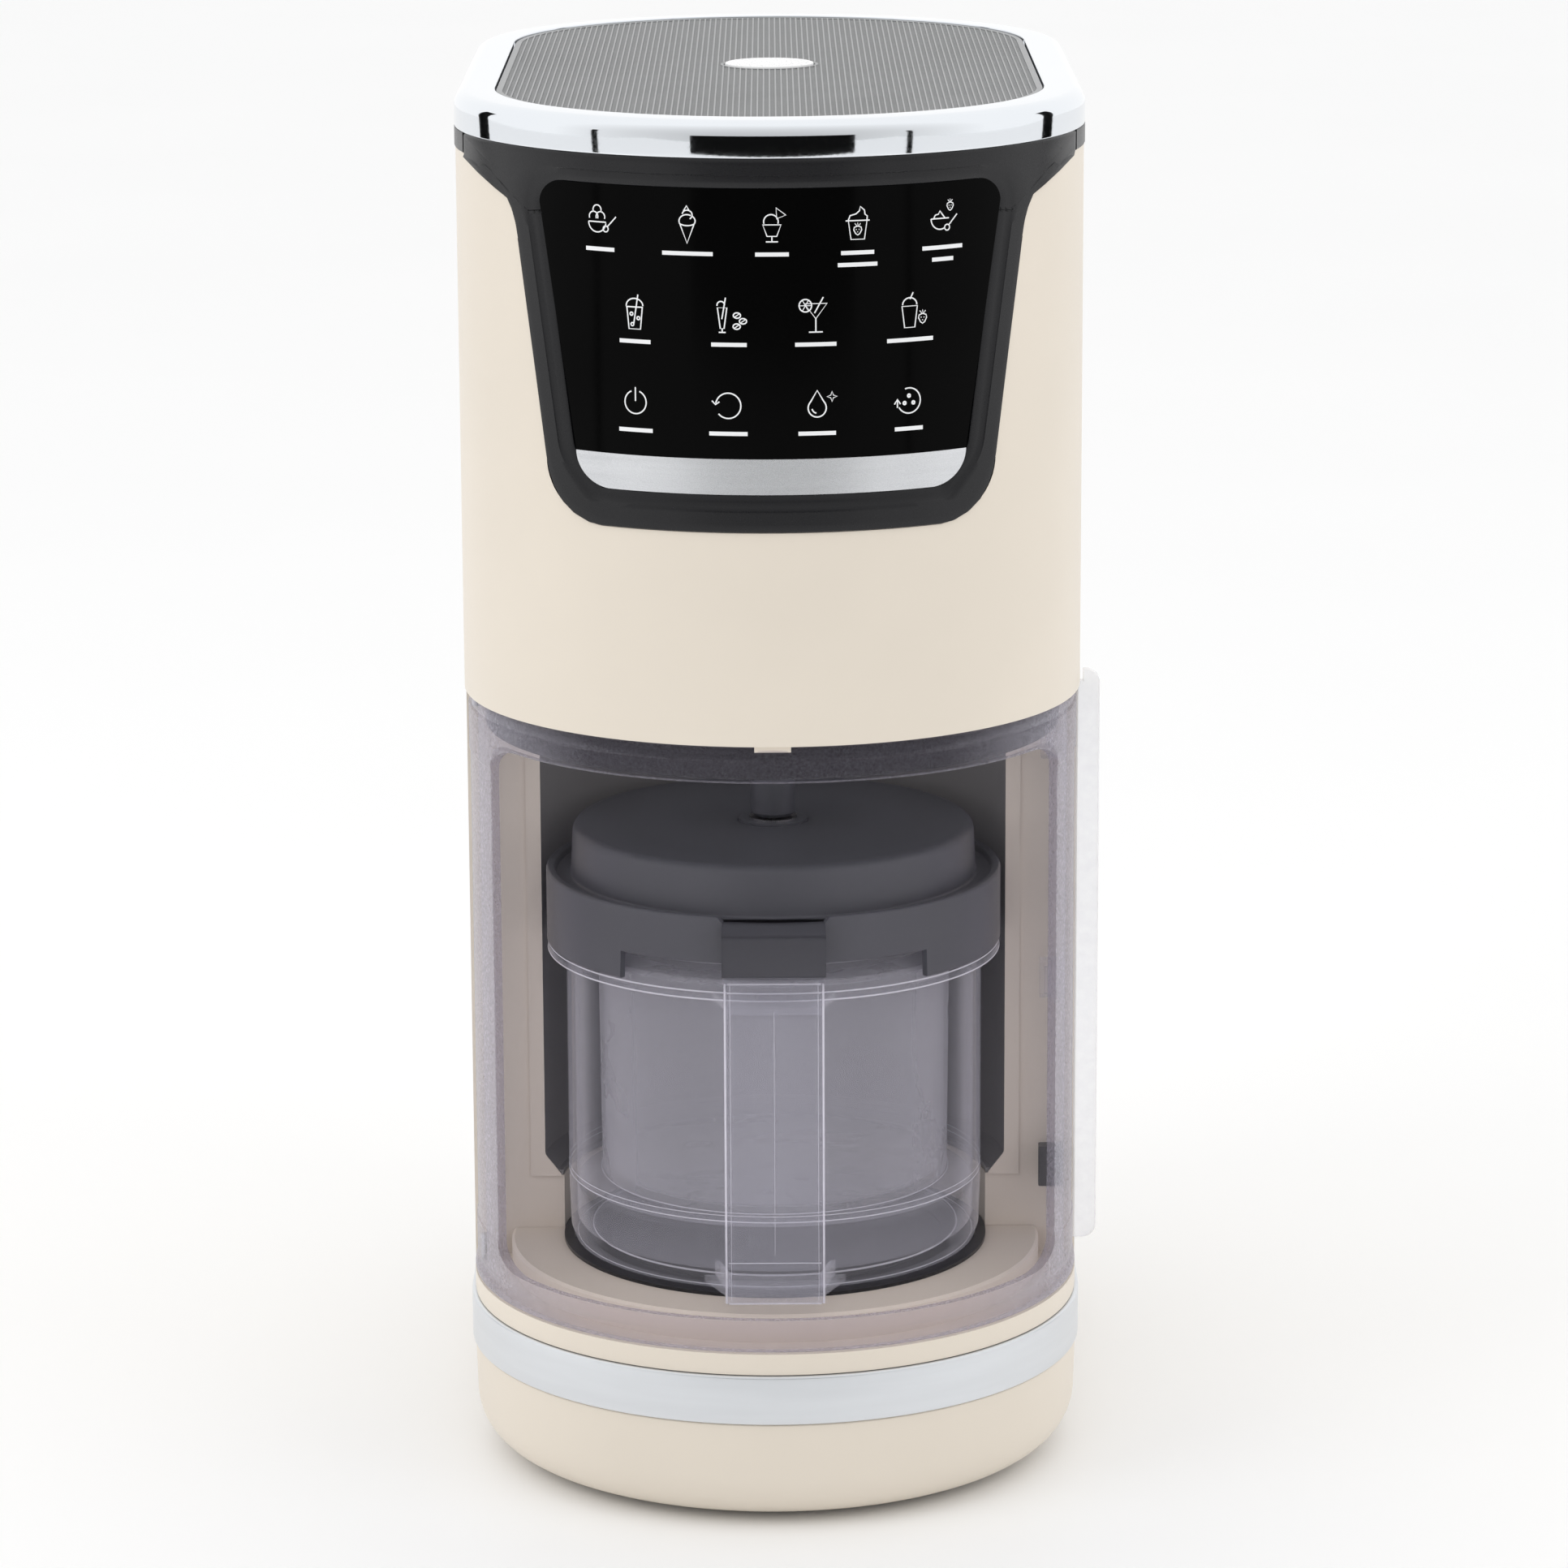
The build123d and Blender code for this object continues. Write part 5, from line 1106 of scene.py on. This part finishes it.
def niche_slope():
    """The sloping step between the wide niche and the narrow one round the bowl's foot."""
    reach = acos(SPINE_FRONT / NICHE_R)
    steps = 48
    path = [bearing_station(pi - reach + 2 * reach * k / steps) for k in range(steps + 1)]
    outer, inner = NICHE_R - 0.05, NICHE_R - NICHE_STEP
    section = [(outer, NICHE_LOW), (outer, NICHE_LOW + 6.2), (inner, NICHE_LOW + 0.3), (inner, NICHE_LOW)]
    piece("niche_slope", strips(swept(path, section), closed=False), LINER, "body")


def niche_jambs():
    """Thin cream faces beside the niche's mouth, which follow its step."""
    low, top = NICHE_LOW - 0.4, liner_hi.z - 0.4
    outer, mouth, inner = NICHE_R + 4.0, NICHE_R - 0.3, NICHE_R - NICHE_STEP
    for name, sign in (("niche_jamb_left", -1), ("niche_jamb_right", 1)):
        outline = rounded([
            (sign * outer, low, 0.0), (sign * inner, low, 0.0), (sign * inner, NICHE_LOW + 0.3, 0.0),
            (sign * mouth, NICHE_LOW + 6.3, 2.5), (sign * mouth, top, 0.0), (sign * outer, top, 0.0),
        ], 5)
        rings = [[(x, y, z) for x, z in outline] for y in (liner_lo.y - 0.35, liner_lo.y - 0.03)]
        piece(name, strips(rings, closed=False), CREAM, "body")


def ceiling_ring():
    """The grained dark ring that shows over the window, with a soft upper edge."""
    ceiling_lo, ceiling_hi = span("chamber_ceiling")
    low, outer = ceiling_lo.z - 0.1, ceiling_hi.x + 0.15
    top, inner = low + 8.6, outer - 5.0
    path = [bearing_station(radians(-88 + 2 * k)) for k in range(89)]
    profile = rounded([(outer, low, 0.6), (outer, top, 2.4), (inner, top, 0.0), (inner, low, 0.0)], 6)
    piece("ceiling_edge", strips(swept(path, profile), closed=False),
          TEXTURED, "body", slot="charcoal_plastic")


for draw in (
    base, panel, symbols, bezel, grille, badge, door, fin, door_inside, bowl, tub, handle, glint_lines,
    lid, niche_slope, niche_jambs, ceiling_ring,
):
    draw()


# ---- CAD nodes that show as they are ---------------------------------------
SLOT_LOOKS = {look.name.removesuffix(LOOK): look for look in bpy.data.materials if look.name.endswith(LOOK)}
NODE_LOOKS = {"chamber_ceiling": TEXTURED, "drive_spindle": LID, "drive_sleeve": LID}
for subpart in frame["record"]["subparts"]:
    look = NODE_LOOKS.get(subpart["node"], SLOT_LOOKS[subpart["material_slot"]])
    node = frame["nodes"][subpart["node"]]
    node.data.materials.clear()
    node.data.materials.append(look)
    node.visible_shadow = look not in SEE_THROUGH


# ---- Floor, light and camera -----------------------------------------------
def floor():
    half = 4.5
    mesh = bpy.data.meshes.new("floor")
    corners = [(-half, -half, 0), (half, -half, 0), (half, half, 0), (-half, half, 0)]
    mesh.from_pydata(corners, [], [(0, 1, 2, 3)])
    mesh.materials.append(solid("pale_floor", (0.96, 0.96, 0.96), 0.6, vary=0.005, cloud=3.0, bump=0.01))
    linked("floor", mesh)


def card(name, azimuth, distance, width, low, high):
    """A dark upright card facing the object, seen only in reflections."""
    turn = radians(azimuth)
    out = Vector((sin(turn), -cos(turn), 0))
    side = Vector((cos(turn), sin(turn), 0)) * width / 2
    foot = Vector((AXIS.x, AXIS.y, 0)) + out * distance
    corners = ((foot - side, low), (foot + side, low), (foot + side, high), (foot - side, high))
    mesh = bpy.data.meshes.new(name)
    mesh.from_pydata([(p.x, p.y, z) for p, z in corners], [], [(0, 1, 2, 3)])
    mesh.materials.append(CARD)
    obj = linked(name, mesh)
    obj.visible_camera = obj.visible_diffuse = obj.visible_shadow = False


def area_light(name, place, target, width, height, power):
    """A rectangular light that no reflection shows."""
    data = bpy.data.lights.new(name, "AREA")
    data.shape = "RECTANGLE"
    data.size, data.size_y, data.energy = width, height, power
    obj = linked(name, data)
    obj.location = place
    obj.rotation_euler = (Vector(target) - Vector(place)).to_track_quat("-Z", "Y").to_euler()
    obj.visible_glossy = False
    return obj


def by_axis(front, height):
    """A place in metres, in front of the bowl axis and above the table."""
    return (AXIS.x, AXIS.y - front, height)


FRONT_GLOW = 0.63
SIDE_GLOW = 1.06


def world():
    """A white studio, a little dimmer in front of the object than beside and behind it."""
    scene_world = bpy.data.worlds.new("studio")
    bpy.context.scene.world = scene_world
    scene_world.use_nodes = True
    nodes, links = scene_world.node_tree.nodes, scene_world.node_tree.links
    coords = nodes.new("ShaderNodeTexCoord")
    parts = nodes.new("ShaderNodeSeparateXYZ")
    ramp = shader_node(nodes, "MapRange", From_Min=-1.0, From_Max=-0.1, To_Min=FRONT_GLOW, To_Max=SIDE_GLOW)
    links.new(coords.outputs["Generated"], parts.inputs[0])
    links.new(parts.outputs["Y"], ramp.inputs["Value"])
    links.new(ramp.outputs["Result"], nodes["Background"].inputs["Strength"])
    nodes["Background"].inputs["Color"].default_value = (1, 1, 1, 1)


CAMERA_DISTANCE = 1.609
CAMERA_HEIGHT = 0.570
TILT = 13.11
PAN = -0.114
ROLL = -0.258


def camera():
    """The photograph's view: a long lens from in front and a little above."""
    data = bpy.data.cameras.new("camera")
    data.lens, data.sensor_width = 131.85, 36.0
    data.clip_start, data.clip_end = 0.05, 50.0
    obj = linked("camera", data)
    obj.location = (AXIS.x, AXIS.y - CAMERA_DISTANCE, CAMERA_HEIGHT)
    pan, tilt, roll = (Matrix.Rotation(radians(turn), 3, axis)
                       for turn, axis in ((PAN, "Z"), (90 - TILT, "X"), (ROLL, "Z")))
    obj.rotation_euler = (pan @ tilt @ roll).to_euler()
    bpy.context.scene.camera = obj


CARD = solid("card_black", (0.004, 0.004, 0.004), 0.9, Specular_IOR_Level=0.0)
floor()
world()
card("dark_card", azimuth=1.0, distance=1.68, width=1.85, low=0.07, high=0.50)
for name, azimuth, width, high in (
    ("left_pole", -64.0, 0.07, 0.7), ("right_pole", 50.0, 0.06, 0.7),
    ("left_flag", -124.0, 0.22, 0.9), ("right_flag", 118.0, 0.2, 0.9),
):
    card(name, azimuth, distance=1.6, width=width, low=0.0, high=high)
for name, side, power in (("left_softbox", -1.5, 6), ("right_softbox", 1.5, 4)):
    area_light(name, (side, -0.9, 1.0), (0, 0, 0.2), width=1.0, height=1.6, power=power)

# Two small lights inside the chamber stand in for the light that its clear walls let through.
chamber_fill = area_light("chamber_fill", by_axis(0.081, 0.14), by_axis(0.0, 0.13), 0.12, 0.13, 0.024)
ceiling_fill = area_light("ceiling_fill", by_axis(0.01, 0.212), by_axis(0.0101, 0.0), 0.12, 0.12, 0.032)
chamber_fill.visible_camera = ceiling_fill.visible_camera = False
camera()
scene = bpy.context.scene
scene.view_settings.view_transform = "Standard"
scene.cycles.transparent_max_bounces = 48
